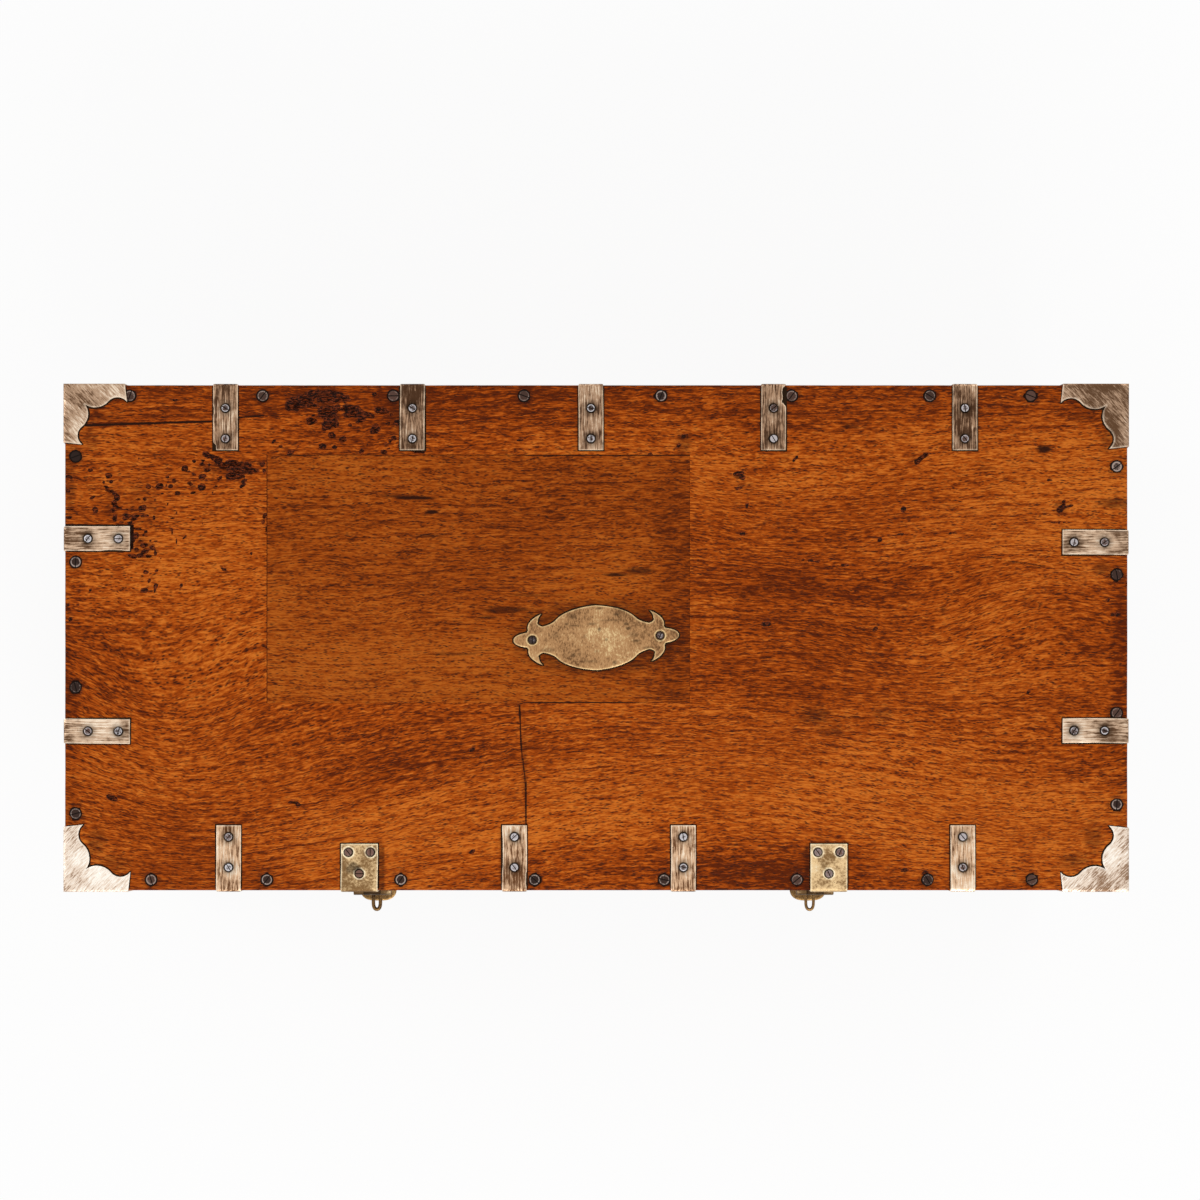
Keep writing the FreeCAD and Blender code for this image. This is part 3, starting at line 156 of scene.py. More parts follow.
GOUGES = (
    (-312.4, 252.8, 9.5, 6.9, -8, 1.7), (-316.6, 250.1, 5.3, 4.8, 0, 1.6),
    (-302.9, 256.5, 12.1, 6.9, 10, 1.7), (-291.3, 262.8, 12.1, 4.8, 0, 1.6),
    (-278.6, 263.3, 12.7, 4.5, 0, 1.5), (-264.9, 259.6, 11.1, 4.8, -12, 1.6),
    (-278.6, 256.5, 12.7, 3.2, 0, 1.2), (-293.4, 251.2, 6.3, 2.1, 5, 1), (-279.7, 244.8, 9, 6.3, 20, 1.9),
    (-270.2, 248, 6.3, 4.2, 30, 1.6), (-274.4, 237.4, 7.9, 6.3, 40, 1.9), (-278.6, 231.1, 5.8, 5.3, 30, 1.8),
    (-270.2, 232.2, 3.7, 3.7, 0, 1.2), (-280.7, 227.4, 3.7, 2.1, 10, 1.4), (-254.3, 248, 10, 4.8, -5, 1.7),
    (-253.3, 242.2, 8.5, 4.2, 5, 1.7), (-242.7, 242.7, 7.9, 4.2, -15, 1.6),
    (-234.8, 241.1, 6.3, 2.9, -15, 1.4), (-243.7, 236.4, 4.8, 2.6, 20, 1.5), (-246.9, 233.8, 3.2, 1.3, 15, 1),
    (-222.1, 245.7, 7.1, 3.5, -8, 1.9), (-295.3, 235.3, 5.7, 4.1, -5, 2.4), (-273.9, 220.5, 4, 3.1, -30, 1.5),
    (-262.5, 216.1, 4, 3.2, 20, 1.6), (-229.2, 226.4, 5.5, 4.2, 10, 1.4), (-282.8, 208.9, 4.4, 3.2, 0, 1.1),
    (-271, 208.4, 2.7, 2.4, 0, 1.2), (-243.2, 203.9, 2.7, 2.4, 20, 1), (-219.7, 203.1, 3.5, 2.6, 0, 1.1),
    (-215.7, 233, 2.4, 2.3, 0, 1.2), (-205.7, 233.4, 4.1, 3.2, 0, 0.9), (-209.4, 217.4, 3.3, 2.6, 0, 1.1),
    (-213.6, 214.7, 1.7, 2.3, 0, 1), (-229.8, 263.1, 2.7, 2.3, 30, 1.1), (-212.1, 241.7, 1.7, 1.5, 0, 0.9),
    (-326.7, 209.1, 2.2, 1.6, 0, 0.9), (-333.5, 214.7, 2.5, 1.5, 20, 0.9), (-321.4, 261.7, 1.5, 1.1, 0, 0.8),
    (-308.7, 208.9, 1.1, 1, 0, 0.6), (-316.6, 202.6, 4.2, 2.6, 30, 0.5), (-203.6, 210, 1.8, 2.3, 0, 0.9),
    (-217.9, 211.6, 1.4, 1.9, 0, 0.7), (-185.6, 204.7, 7.9, 2.6, -12, 1.2), (-292.9, 241.1, 1.9, 1.2, 0, 0.8),
    (-214.7, 206.8, 1.6, 1.1, 0, 0.6), (-334.6, 212.6, 1.3, 0.8, 0, 0.6), (-236.9, 211, 1.1, 0.7, 0, 0.5),
    (-190.9, 198.4, 3.2, 1.1, 0, 0.4), (-402.9, 200.1, 5.6, 3, -25, 1.5), (-393.4, 196, 6.5, 3.6, -20, 1.5),
    (-388.6, 190, 7.7, 3.6, -35, 1.6), (-376.7, 190.6, 10.1, 4.8, -5, 1.8), (-366, 188.8, 10.7, 4.8, -8, 1.8),
    (-357.7, 184.1, 8.9, 3.3, 5, 1.6), (-370.8, 184.1, 11.9, 3.6, -5, 1.7), (-377.3, 178.1, 7.1, 4.2, 0, 1.7),
    (-369.6, 177.5, 5.3, 2.7, 5, 1.3), (-426.1, 186.1, 3.9, 3.3, 10, 1.6), (-416.5, 193.6, 1.9, 1.8, 0, 1),
    (-407, 194.2, 2.1, 1.3, 0, 0.9), (-408.2, 190.4, 3.1, 1.8, 0, 1.1), (-400.7, 190, 2.1, 1.7, 0, 1.1),
    (-403.1, 184.4, 3.7, 2.4, 0, 1.4), (-416.5, 180.2, 2.7, 1.3, -15, 1), (-421.2, 182.9, 1.8, 1.2, -30, 0.9),
    (-407.6, 177.8, 4.3, 3.2, 20, 1.4), (-403.5, 174, 1.7, 1.2, 0, 0.9), (-389.8, 176.1, 3.1, 2.1, 20, 1.2),
    (-443.9, 177.3, 2.5, 1.8, -10, 1.3), (-436.8, 173.4, 2, 2.5, 0, 1.2), (-420.5, 170.2, 3.3, 2, -20, 1.4),
    (-463.3, 167.4, 3.1, 2.4, 0, 1.4), (-452.2, 167.8, 4.6, 3.6, 20, 1.5), (-440.9, 167.7, 3.1, 2.3, 0, 1.3),
    (-408.6, 166.6, 3.9, 3.7, 0, 1.6), (-433.4, 160.5, 3.1, 2.5, 0, 1.4), (-417.7, 160.9, 3.2, 1.4, 15, 1.1),
    (-449.5, 160.3, 1.5, 1.2, 0, 0.9), (-443.3, 171.8, 1.4, 1.1, 0, 0.8), (-445.2, 168.3, 1.2, 1, 0, 0.7),
    (-393.4, 167.8, 2.1, 1.3, 0, 0.9), (-345.8, 190.4, 3.2, 2.6, 0, 0.8), (-343.8, 183.7, 2.1, 2.6, 0, 0.8),
    (-504.9, 178.7, 3.8, 2.9, -15, 1.4), (-502.5, 172.6, 2.3, 2, 0, 1.2), (-509.9, 171.8, 1.5, 1.8, 0, 1),
    (-507.5, 167.1, 3.3, 1.3, -20, 1.2), (-503.3, 162.7, 5.3, 1.4, -12, 1.4),
    (-498.6, 160.3, 2.6, 2.4, -40, 1.4), (-496.2, 155.6, 3, 3.6, 0, 1.6), (-498.9, 150.2, 2.6, 3.6, 20, 1.6),
    (-495, 145.5, 5.9, 1.5, -20, 1.4), (-482.5, 143.5, 8.9, 0.7, -3, 0.9), (-500.3, 142.5, 2.6, 2.7, 0, 1.5),
    (-498.6, 134.8, 2.4, 3.8, 0, 1.1), (-521.7, 156.1, 3.6, 1.4, 30, 0.9), (-522, 153.5, 2.4, 0.8, 0, 0.8),
    (-474.2, 154.2, 2.7, 1.3, 5, 1.2), (-467.7, 154.7, 2.3, 2.1, 0, 1.3), (-470, 144.9, 5, 3.6, 10, 0.9),
    (-486.1, 137.7, 5.3, 2, -5, 1.3), (-476.6, 136.9, 4.8, 1.5, 5, 1.1), (-469.4, 136.9, 3, 1.8, 0, 1.2),
    (-464.9, 137.1, 1.8, 1.2, 0, 1), (-487.3, 134.2, 4.2, 1.4, 0, 1.2), (-479, 133.6, 4.2, 1.7, 10, 1.2),
    (-491.4, 130.5, 3, 1.2, 0, 1.1), (-483.1, 129.8, 3.6, 1.3, 0, 1.1), (-481.9, 126.4, 3.6, 1.5, -30, 1.3),
    (-475.4, 123.8, 5.3, 1.2, -6, 1.5), (-457.9, 134.8, 1.2, 3.3, 0, 0.9), (-444.5, 130.6, 1.5, 1.4, 0, 0.9),
    (-452.2, 127.9, 1.5, 0.7, 0, 0.7), (-456.6, 153.8, 1, 1.3, 0, 0.6), (-443.5, 149.5, 0.8, 1.5, 0, 0.6),
    (-436.4, 142.8, 1.4, 1.1, 0, 0.8), (-434.4, 140.5, 0.8, 1.8, 0, 0.6), (-438.8, 134.8, 2.4, 0.7, 0, 0.6),
    (-417.1, 133.3, 2.4, 0.7, 10, 0.6), (-439.5, 121.4, 1, 3.7, 8, 0.9), (-434.4, 110.4, 0.7, 3, 0, 0.6),
    (-426.1, 115.1, 3, 1.1, 45, 0.8), (-453.3, 122.2, 1.5, 0.8, 0, 0.7), (-466.5, 120.7, 2, 1.4, 0, 0.9),
    (-468.8, 117.2, 1.5, 1.2, 0, 0.7), (-480.7, 120.5, 1.5, 3.6, 0, 1.3), (-476.3, 116.7, 3, 3.3, 0, 1),
    (-480.1, 112.2, 2.6, 2.6, 0, 1.3), (-481.9, 105.6, 2.6, 3.6, 0, 1.4), (-461.7, 111.2, 1.5, 1.2, 0, 0.8),
    (-456.4, 111, 2.4, 0.6, 0, 0.6), (-468.3, 106.5, 4.4, 2.4, 10, 1.3), (-459.3, 103.8, 3.6, 2, -20, 1.2),
    (-467.1, 100.5, 4.5, 2.4, 15, 1.4), (-476, 102.1, 2.6, 2.4, 0, 1.3), (-479.9, 95.3, 5, 2.4, -10, 1.4),
    (-472.8, 96.1, 3.6, 2.4, -10, 1.4), (-463.5, 95.3, 3.3, 1.7, 0, 1.2), (-456.6, 98.5, 1.8, 2.4, 0, 1.1),
    (-451.4, 93.6, 2.1, 0.7, -40, 0.7), (-471.8, 111, 3, 1.2, 0, 0.8), (-385.6, 81.9, 3.6, 1.5, -30, 0.5),
    (-466.5, 78.9, 3, 2, 0, 0.9), (-455.4, 80.1, 2.1, 1.5, 20, 0.8), (-357.1, 97.9, 1.4, 1.8, 0, 0.5),
    (-408.2, 129.4, 0.6, 2, 0, 0.5), (-444.2, 186.5, 1.3, 0.7, 0, 0.6), (-473.6, 196.6, 1.1, 1, 0, 0.6),
    (-427.2, 196.6, 1.2, 0.8, 0, 0.6), (-473.2, 174.6, 0.8, 0.8, 0, 0.6), (-343.4, 137.1, 2, 3.6, -20, 1.4),
    (-344.9, 130.6, 1.8, 2.6, 0, 1.2), (-342, 124.1, 0.7, 4.8, 0, 0.9), (-396.9, 160.9, 0.8, 1.2, 0, 0.5),
    (-366, 168.6, 4.2, 1.8, 40, 0.6), (-364.2, 173.7, 3.6, 1.4, 20, 0.7),
    (-501.3, -155.1, 6.5, 3.2, -20, 1.2), (-311.9, -160.2, 8.2, 1.7, -14, 1.3),
    (337.5, 197.5, 9.5, 2.3, 39, 1.5), (332.5, 193.5, 4, 3.2, 39, 1.4), (484, 149, 2.2, 6.2, -10, 1.4),
    (490, 147, 5.5, 1.3, 14, 1), (479.5, 143.5, 3.2, 3.6, 0, 1.2), (473.5, 130.3, 1.8, 1.4, 0, 0.9),
    (479, 129.8, 1.8, 1.3, 0, 0.9), (485.2, 130.6, 1.8, 1.3, 0, 0.9), (367.7, 119.4, 2.4, 1.3, 35, 0.8),
    (-129.2, -209.5, 2.6, 2.6, 0, 1), (-115.2, -214.1, 1.5, 1.5, 0, 0.7), (-78.9, 215.6, 4, 1.5, 0, 0.6),
    (147.6, 181, 6, 2.4, 6, 1.3), (151.5, 176.5, 3, 2.6, 0, 1.1), (147, 166, 4.6, 1.7, 0, 1),
    (155.7, 147.6, 2, 3, 0, 1), (151.7, 118.5, 3, 2.2, 0, 1), (317.6, 144.2, 3.4, 3.2, 20, 1.4),
    (315.2, 118.1, 3.2, 1.6, 0, 1), (293.5, 112.2, 2.8, 2, 0, 0.8), (214, 91.5, 2.4, 1.4, 0, 0.8),
    (222, 90.5, 2.6, 1.6, 0, 0.9), (229, 89.5, 2.6, 1.6, 0, 0.9), (243, 207, 2.6, 1.5, 0, 0.8),
    (291, 206, 2.4, 1.3, 0, 0.8), (206, 196, 5, 1.6, 50, 0.7), (83.6, 208.5, 5, 1.9, 55, 1.4),
    (90, 220, 1.6, 3, 20, 0.9), (469.8, 174.2, 3, 2, 0, 0.6), (176.4, 25.2, 6, 1.5, 0, 1),
    (257.5, 86.2, 4, 1.6, 0, 0.6), (107.4, 91.3, 2, 4, 0, 0.6), (55.6, 200.1, 5, 1.5, 50, 0.8),
    (42.2, -212, 3, 1.5, 0, 0.6), (29.8, -203.7, 2, 1.5, 0, 0.6), (319.6, -229.6, 4, 2, 0, 0.7),
    (340.4, -232.7, 3, 3, 0, 0.7), (-436.1, 257, 3, 1.5, 0, 0.5), (-524.1, 184.5, 3, 2, 0, 0.6),
    (-518.9, 143.1, 3, 4, 0, 0.7), (-510.7, -7, 2, 1.5, 0, 0.5), (-254.9, 231.1, 2, 1.6, 0, 0.7),
    (533, 43, 5, 0.9, -6, 0.8), (527, 51, 5, 0.9, -20, 0.7), (538, 34.5, 6, 0.8, 0, 0.8),
    (507, 19, 4, 0.9, -25, 0.5), (448.5, -45.5, 5, 1, -18, 0.7), (-35.5, 76.5, 1.5, 1.4, 0, 0.7),
    (207.5, -12.5, 2, 2, 0, 0.9), (290, 20.6, 3.4, 1.6, 0, 0.9), (282, 21.5, 2, 1.6, 0, 0.8),
    (353, -8.5, 2, 1.8, 0, 0.7), (-128, -105, 2.6, 2.4, 0, 0.8), (97.5, -237.5, 2.4, 1.8, 0, 0.8),
    (172, -202, 1.6, 1.4, 0, 0.6), (-546, 177.2, 4, 2.2, -20, 1.4), (-547, 163, 2.6, 2, 0, 1.2),
    (-545, 143.5, 4, 1.2, 0, 1), (-546, 135.4, 3.6, 1.6, 0, 1), (-536, 61, 6, 1.2, 0, 0.9),
    (-524, 59, 3, 1.2, 0, 0.8), (-547, 43.7, 3, 1.9, 0, 1.2), (-545, 29.6, 3.2, 1.4, 30, 1),
    (-538, 46, 5, 1.1, 0, 0.7), (-456, 66.5, 3, 2.5, 0, 0.9), (-468, 59.5, 4.6, 3, 0, 0.8),
    (-457, 61, 1.6, 2, 0, 0.7), (-463, 70, 1.6, 1.3, 0, 0.7), (-429.6, 65.7, 2.2, 1.2, 0, 0.7),
    (-505.5, 27.2, 1.7, 1.4, 0, 0.8),
)

# Soft dark marks in the lid's polish, in mm: x, y, half length, half width, strength

MARKS = (
    (226.5, -70, 26, 15, 0.55), (243, -86, 22, 9, 0.5), (296, -68, 16, 14, 0.45), (210, -62, 14, 8, 0.4),
    (258, -72, 20, 8, 0.35), (-80, -62, 7, 8, 0.35), (-74.5, -120, 5, 60, 0.42), (-198, 262, 14, 14, 0.8),
    (-470, 150, 26, 40, 0.35), (-205, 247, 16, 40, 0.5), (330, 197, 12, 6, 0.4), (482, 146, 12, 10, 0.5),
    (90, 212, 12, 16, 0.6), (540, 150, 30, 9, 0.6), (-545, 180, 9, 60, 0.5), (-540, 120, 12, 22, 0.3),
    (404, 186, 14, 5, 0.45), (100, 60, 6, 120, 0.25), (155, 168, 14, 10, 0.3), (-290, 258, 34, 12, 0.5),
    (-275, 236, 14, 14, 0.5), (-385, 186, 34, 9, 0.5), (-500, 150, 12, 26, 0.45), (-470, 104, 16, 22, 0.45),
    (143, 150, 10, 8, 0.35), (40, 76, 20, 8, 0.4), (196, 196, 8, 10, 0.35), (523, 82, 13, 9, 0.6),
    (521.6, 63.4, 7, 6, 0.45), (446, 49, 15, 9, 0.28), (480, 17.8, 6, 5, 0.4), (463.5, 206, 10, 6, 0.95),
    (260, 230.2, 7, 4.5, 0.8), (268, 229, 2.5, 5, 0.7), (359, 39, 5.5, 5.5, 0.7), (155, 55, 15, 8, 0.45),
    (181, 66, 10, 6, 0.45), (148, 179, 8, 5, 0.7), (405, 94, 14, 1.7, 0.55), (432, 88.5, 12, 1.7, 0.6),
    (455, 84, 14, 1.6, 0.6), (420, -40, 40, 6, 0.22), (-30, -150, 40, 6, 0.2), (-518, -200, 14, 24, 0.5),
    (-498, -222, 24, 12, 0.5), (514, -196, 14, 24, 0.5), (494, -220, 24, 12, 0.5), (-512, 238, 24, 12, 0.45),
    (-524, 216, 12, 20, 0.45), (508, 240, 24, 10, 0.4), (530, 214, 12, 20, 0.45), (-545, -168, 9, 30, 0.35),
)

# Where the lid's wood is lighter and darker, in mm: x, y, half length, half width, strength

SUNNED = (
    (-409, 18, 90, 110, 0.16), (190, 143, 110, 60, 0.12), (420, 0, 130, 60, 0.22), (230, 10, 110, 60, 0.1),
    (-120, 235, 90, 25, 0.05), (-470, 245, 60, 14, 0.12),
)
SHADED = (
    (-90, 232, 90, 34, 0.08), (366, 138, 110, 50, 0.12), (66, -112, 140, 45, 0.1), (20, -236, 330, 36, 0.38),
    (420, -238, 140, 24, 0.16), (546, 20, 14, 110, 0.3), (-545, -60, 10, 100, 0.2),
)

# Cracks and joint lines in the lid, in mm: the two ends, width and darkness

LID_LINES = (
    (-536, 230.4, -528, 230.9, 1.2, 0.9), (-528, 230.9, -462, 233, 1.25, 0.95),
    (-462, 233, -397, 235, 1.2, 0.9), (-370, 239.1, -345, 240.6, 1.15, 0.8),
    (-345, 240.6, -318, 242.5, 1, 0.62), (-318, 242.5, -280, 247, 0.9, 0.5),
    (-79.5, -59.8, -77.5, -105, 1.05, 0.82), (-77.5, -105, -73, -140, 1.05, 0.78),
    (-73, -140, -72.7, -188, 1.1, 0.84), (-550, 127.4, -480, 126.8, 1.3, 0.95),
    (-480.5, 126, -480.5, 104, 1.3, 0.9), (185.7, 177.6, 205, 168, 0.9, 0.55),
    (205, 168, 213.6, 156, 0.9, 0.6), (173.4, 174.5, 178.8, 183.2, 0.9, 0.6),
    (447.5, 135.9, 435, 111, 0.9, 0.5), (393, 97.5, 430, 90, 1, 0.65), (430, 90, 467, 84.7, 1, 0.72),
    (-519, -238, -519, -246, 1.2, 0.8),
)

# How bright each fitting on the lid is, beside its own brass: below 0 is browner

WEAR = {
    "lid_strap_back_1": -0.15, "lid_strap_back_2": -0.45, "lid_strap_back_3": -0.05,
    "lid_strap_back_4": -0.35, "lid_strap_back_5": -0.22, "lid_strap_front_1": -0.1,
    "lid_strap_front_2": -0.45, "lid_strap_front_3": -0.5, "lid_strap_front_4": -0.05,
    "lid_strap_left_1": -0.5, "lid_strap_left_2": -0.02, "lid_strap_right_1": -0.22,
    "lid_strap_right_2": -0.15, "lid_corner_back_left": 0.1, "lid_corner_back_right": -0.55,
    "lid_corner_front_right": -0.4, "left_hasp_plate": -0.65, "right_hasp_plate": -0.1,
}

# How much longer than its node each lid corner's legs are, along the chest and across it

CORNER_STRETCH = {
    "lid_corner_back_left": (1.005, 0.96), "lid_corner_back_right": (1.08, 1.03),
    "lid_corner_front_left": (1.06, 1.065), "lid_corner_front_right": (1.085, 1.045),
}

# Bites and dents in the straps' long edges: the side that they are on, how far out from the
# wood's edge they are, half length and depth, in mm

BITES = {
    "lid_strap_back_4": ((-1, -11.0, 12.0, 3.8),),
    "lid_strap_back_1": ((1, -67.0, 8.0, 3.6), (1, -26.0, 5.0, 0.7)),
    "lid_strap_front_2": ((-1, -40.0, 22.0, 0.5), (1, -12.0, 9.0, 0.6)),
    "lid_strap_left_1": ((1, -50.0, 14.0, 0.7),),
}

# Screws in the lid's top that look unlike their neighbours, in mm: x, y, rust and bright wear

WORN_SCREWS = (
    (-258, -210.6, 0.9, 0.1), (-234.8, -210.6, 0.9, 0.1), (-245.3, -232.7, 0.9, 0.1),
    (229.5, -210.6, 0.75, 0.2), (252.3, -210.6, 0.75, 0.2), (240.9, -232.7, 0.75, 0.2),
    (-66.2, 10.9, 0, -1.8), (66.2, 10.9, 0.2, -0.9), (-203.2, -237.3, 0.1, 1.2), (-341.2, -237.3, 0.1, 0.9),
    (343.4, -237.3, 0.1, 0.8), (538.7, 188.1, 0.1, 1.1), (-539.7, 198.5, 0, -1), (449.1, 261.6, 0.5, -0.2),
)

# Dark streaks in the let-in panel, in mm: x, y, half length, half width, strength

STREAKS = (
    (-187, 155.5, 26, 2.4, 1), (-206, 158, 30, 1.6, 0.7), (-170, 141, 9, 2.2, 1), (-172, 116.5, 24, 1.6, 0.7),
    (-240, 128, 60, 1.2, 0.5), (-120, 122, 40, 1.2, 0.4), (-60, 140, 70, 1.4, 0.45), (20, 76, 16, 2.6, 0.8),
    (45, 80, 22, 5, 0.6), (-95, 40, 34, 5, 0.6), (-112, 32, 14, 2.4, 0.7), (-60, 55, 40, 2.6, 0.5),
    (-150, -6, 30, 2.4, 0.6), (-118, -2, 18, 1.6, 0.6), (-30, 20, 70, 12, 0.25), (-250, 162, 40, 1.4, 0.5),
    (-120, 160, 30, 1.2, 0.35), (-290, 60, 40, 1.2, 0.35),
)


# Hand tools


def put_down():
    """Leaves nothing selected."""
    bpy.ops.object.select_all(action="DESELECT")


def pick_up(piece, *others):
    """Selects these pieces alone, with the first one active."""
    put_down()
    for each in (piece, *others):
        each.select_set(True)
    bpy.context.view_layer.objects.active = piece


def named(name):
    """The piece that an operator has just made, with a name and its place in its mesh."""
    piece = bpy.context.active_object
    piece.name = name
    piece.data.name = name
    bpy.ops.object.transform_apply(location=True, rotation=True, scale=True)
    return piece


def finish_with(piece, kind, **settings):
    """Adds a modifier and applies it."""
    pick_up(piece)
    modifier = piece.modifiers.new(kind, kind)
    for key, value in settings.items():
        setattr(modifier, key, value)
    bpy.ops.object.modifier_apply(modifier=modifier.name)


def trim(piece, tool, operation="DIFFERENCE"):
    """Cuts or joins a piece with a tool that is then thrown away."""
    finish_with(piece, "BOOLEAN", object=tool, operation=operation, solver="EXACT")
    bpy.data.objects.remove(tool, do_unlink=True)


def ease_edges(piece, width, degrees):
    """Rounds every edge that is sharper than this angle."""
    limit = math.radians(degrees)
    finish_with(piece, "BEVEL", width=width, segments=2, limit_method="ANGLE", angle_limit=limit)


@contextmanager
def editing(piece, kind="VERT", action="SELECT"):
    """Opens a piece's mesh, with all or nothing of it selected."""
    pick_up(piece)
    bpy.ops.object.mode_set(mode="EDIT")
    bpy.ops.mesh.select_mode(type=kind)
    bpy.ops.mesh.select_all(action=action)
    yield
    bpy.ops.object.mode_set(mode="OBJECT")


def face_outwards(piece):
    """Turns the faces of a closed piece outwards."""
    with editing(piece):
        bpy.ops.mesh.normals_make_consistent(inside=False)
    return piece


def join(pieces, name):
    pick_up(*pieces)
    if len(pieces) > 1:
        bpy.ops.object.join()
    pieces[0].name = name
    pieces[0].data.name = name
    return pieces[0]


def smooth(piece, degrees=35):
    pick_up(piece)
    bpy.ops.object.shade_smooth_by_angle(angle=math.radians(degrees))


def points_of(piece):
    flat = np.empty(len(piece.data.vertices) * 3)
    piece.data.vertices.foreach_get("co", flat)
    return flat.reshape(-1, 3)


def set_points(piece, points):
    piece.data.vertices.foreach_set("co", points.astype(np.float32).ravel())
    piece.data.update()


def paint(piece, name, values):
    """A value for each point of the mesh, for the materials to read."""
    attribute = piece.data.attributes.get(name) or piece.data.attributes.new(name, "FLOAT", "POINT")
    attribute.data.foreach_set("value", values.astype(np.float32))


def fit(piece, material, node, slot, *more_nodes):
    """Puts a finished piece in the place of its node, on the node's body."""
    piece.data.materials.clear()
    piece.data.materials.append(material)
    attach(piece, frame["nodes"][node]["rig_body"])
    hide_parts(node, *more_nodes)
    return piece


def soft_step(value, low, high):
    share = np.clip((value - low) / (high - low), 0, 1)
    return share * share * (3 - 2 * share)


def rolling(x, y, seed):
    """Smooth random heights from -1 to 1, one hill to a unit."""
    heights = np.random.default_rng(seed).uniform(-1, 1, (64, 64))
    column, row = np.floor(x).astype(int), np.floor(y).astype(int)
    across, up = soft_step(x - column, 0, 1), soft_step(y - row, 0, 1)
    low = heights[column % 64, row % 64] * (1 - across) + heights[(column + 1) % 64, row % 64] * across
    high = heights[column % 64, (row + 1) % 64] * (1 - across)
    high += heights[(column + 1) % 64, (row + 1) % 64] * across
    return low * (1 - up) + high * up


def distance_to_line(points, first, second):
    """How far points lie from a straight line between two places, in plan."""
    first, run = np.array(first), np.array(second) - np.array(first)
    along = np.clip(((points - first) @ run) / max(run @ run, 1e-12), 0, 1)
    return np.linalg.norm(points - first - along[:, None] * run, axis=1)


def distance_to_outline(points, outline):
    sides = zip(outline, outline[1:] + outline[:1])
    return np.min([distance_to_line(points, first, second) for first, second in sides], axis=0)


def bowed(table, chords=14):
    """Follows a table of corners and bows, with each bow drawn as an arc through its middle."""
    line = []
    for place, (kind, x, y) in enumerate(table):
        if kind == "corner":
            line.append((x, y))
            continue
        (ax, ay), (cx, cy) = line[-1], table[place + 1][1:]
        twice = 2 * (ax * (y - cy) + x * (cy - ay) + cx * (ay - y))
        a, b, c = ax * ax + ay * ay, x * x + y * y, cx * cx + cy * cy
        mx = (a * (y - cy) + b * (cy - ay) + c * (ay - y)) / twice
        my = (a * (cx - x) + b * (ax - cx) + c * (x - ax)) / twice
        radius = math.hypot(ax - mx, ay - my)
        start = math.atan2(ay - my, ax - mx)
        through = (math.atan2(y - my, x - mx) - start) % math.tau
        sweep = (math.atan2(cy - my, cx - mx) - start) % math.tau
        if through > sweep:
            sweep -= math.tau
        for step in range(1, chords):
            turn = start + sweep * step / chords
            line.append((mx + radius * math.cos(turn), my + radius * math.sin(turn)))
    return line


# Nodes


def add(tree, kind, inputs=None, **settings):
    """A node with its settings, and its inputs linked or set."""
    made = tree.nodes.new(kind)
    for key, value in settings.items():
        setattr(made, key, value)
    for key, value in (inputs or {}).items():
        if isinstance(value, bpy.types.NodeSocket):
            tree.links.new(value, made.inputs[key])
        else:
            made.inputs[key].default_value = value
    return made


def sums(tree, operation, first, second=0.0, third=0.0, clamp=False):
    inputs = {0: first, 1: second, 2: third}
    return add(tree, "ShaderNodeMath", inputs, operation=operation, use_clamp=clamp).outputs[0]


def times(tree, first, second, clamp=False):
    return sums(tree, "MULTIPLY", first, second, clamp=clamp)


def centred(tree, noise):
    """Noise moved so that it lies round 0."""
    return sums(tree, "SUBTRACT", noise, 0.5)


def vectors(tree, operation, first, second):
    made = add(tree, "ShaderNodeVectorMath", {0: first, 1: second}, operation=operation)
    return made.outputs["Value" if operation == "DOT_PRODUCT" else "Vector"]


def stretched(tree, place, scale):
    return vectors(tree, "MULTIPLY", place, scale)


def cloud(tree, place, scale=1.0, detail=2.0, roughness=0.5):
    inputs = {"Vector": place, "Scale": scale, "Detail": detail, "Roughness": roughness}
    return add(tree, "ShaderNodeTexNoise", inputs).outputs["Fac"]


def fade(tree, value, low, high, out_low=0.0, out_high=1.0):
    inputs = {"Value": value, "From Min": low, "From Max": high, "To Min": out_low, "To Max": out_high}
    made = add(tree, "ShaderNodeMapRange", inputs, interpolation_type="SMOOTHSTEP")
    return made.outputs["Result"]


def mixed(tree, share, first, second):
    return add(tree, "ShaderNodeMix", {0: share, 6: first, 7: second}, data_type="RGBA").outputs[2]


def tint(red, green, blue):
    """A colour as a screen shows it, from 0 to 255, made linear."""
    shares = [value / 255 for value in (red, green, blue)]
    return (*[v / 12.92 if v <= 0.04045 else ((v + 0.055) / 1.055) ** 2.4 for v in shares], 1.0)


NO_CHANGE = (0.0, 0.0, 0.0)
METAL_OUTPUTS = [("Colour", "Color"), ("Roughness", "Float"), ("Height", "Float")]
LIGHT_TEAK = tint(206, 111, 34)
WARM_TEAK = tint(164, 70, 7)
DEEP_TEAK = tint(90, 31, 2)


def new_group(name, inputs, outputs):
    """An empty node group. Each socket is a name, a kind and a first value."""
    tree = bpy.data.node_groups.new(name, "ShaderNodeTree")
    for label, kind, value in inputs:
        socket = tree.interface.new_socket(label, in_out="INPUT", socket_type="NodeSocket" + kind)
        if value is not None:
            socket.default_value = value
    for label, kind in outputs:
        tree.interface.new_socket(label, in_out="OUTPUT", socket_type="NodeSocket" + kind)
    return tree, tree.nodes.new("NodeGroupInput").outputs, tree.nodes.new("NodeGroupOutput").inputs


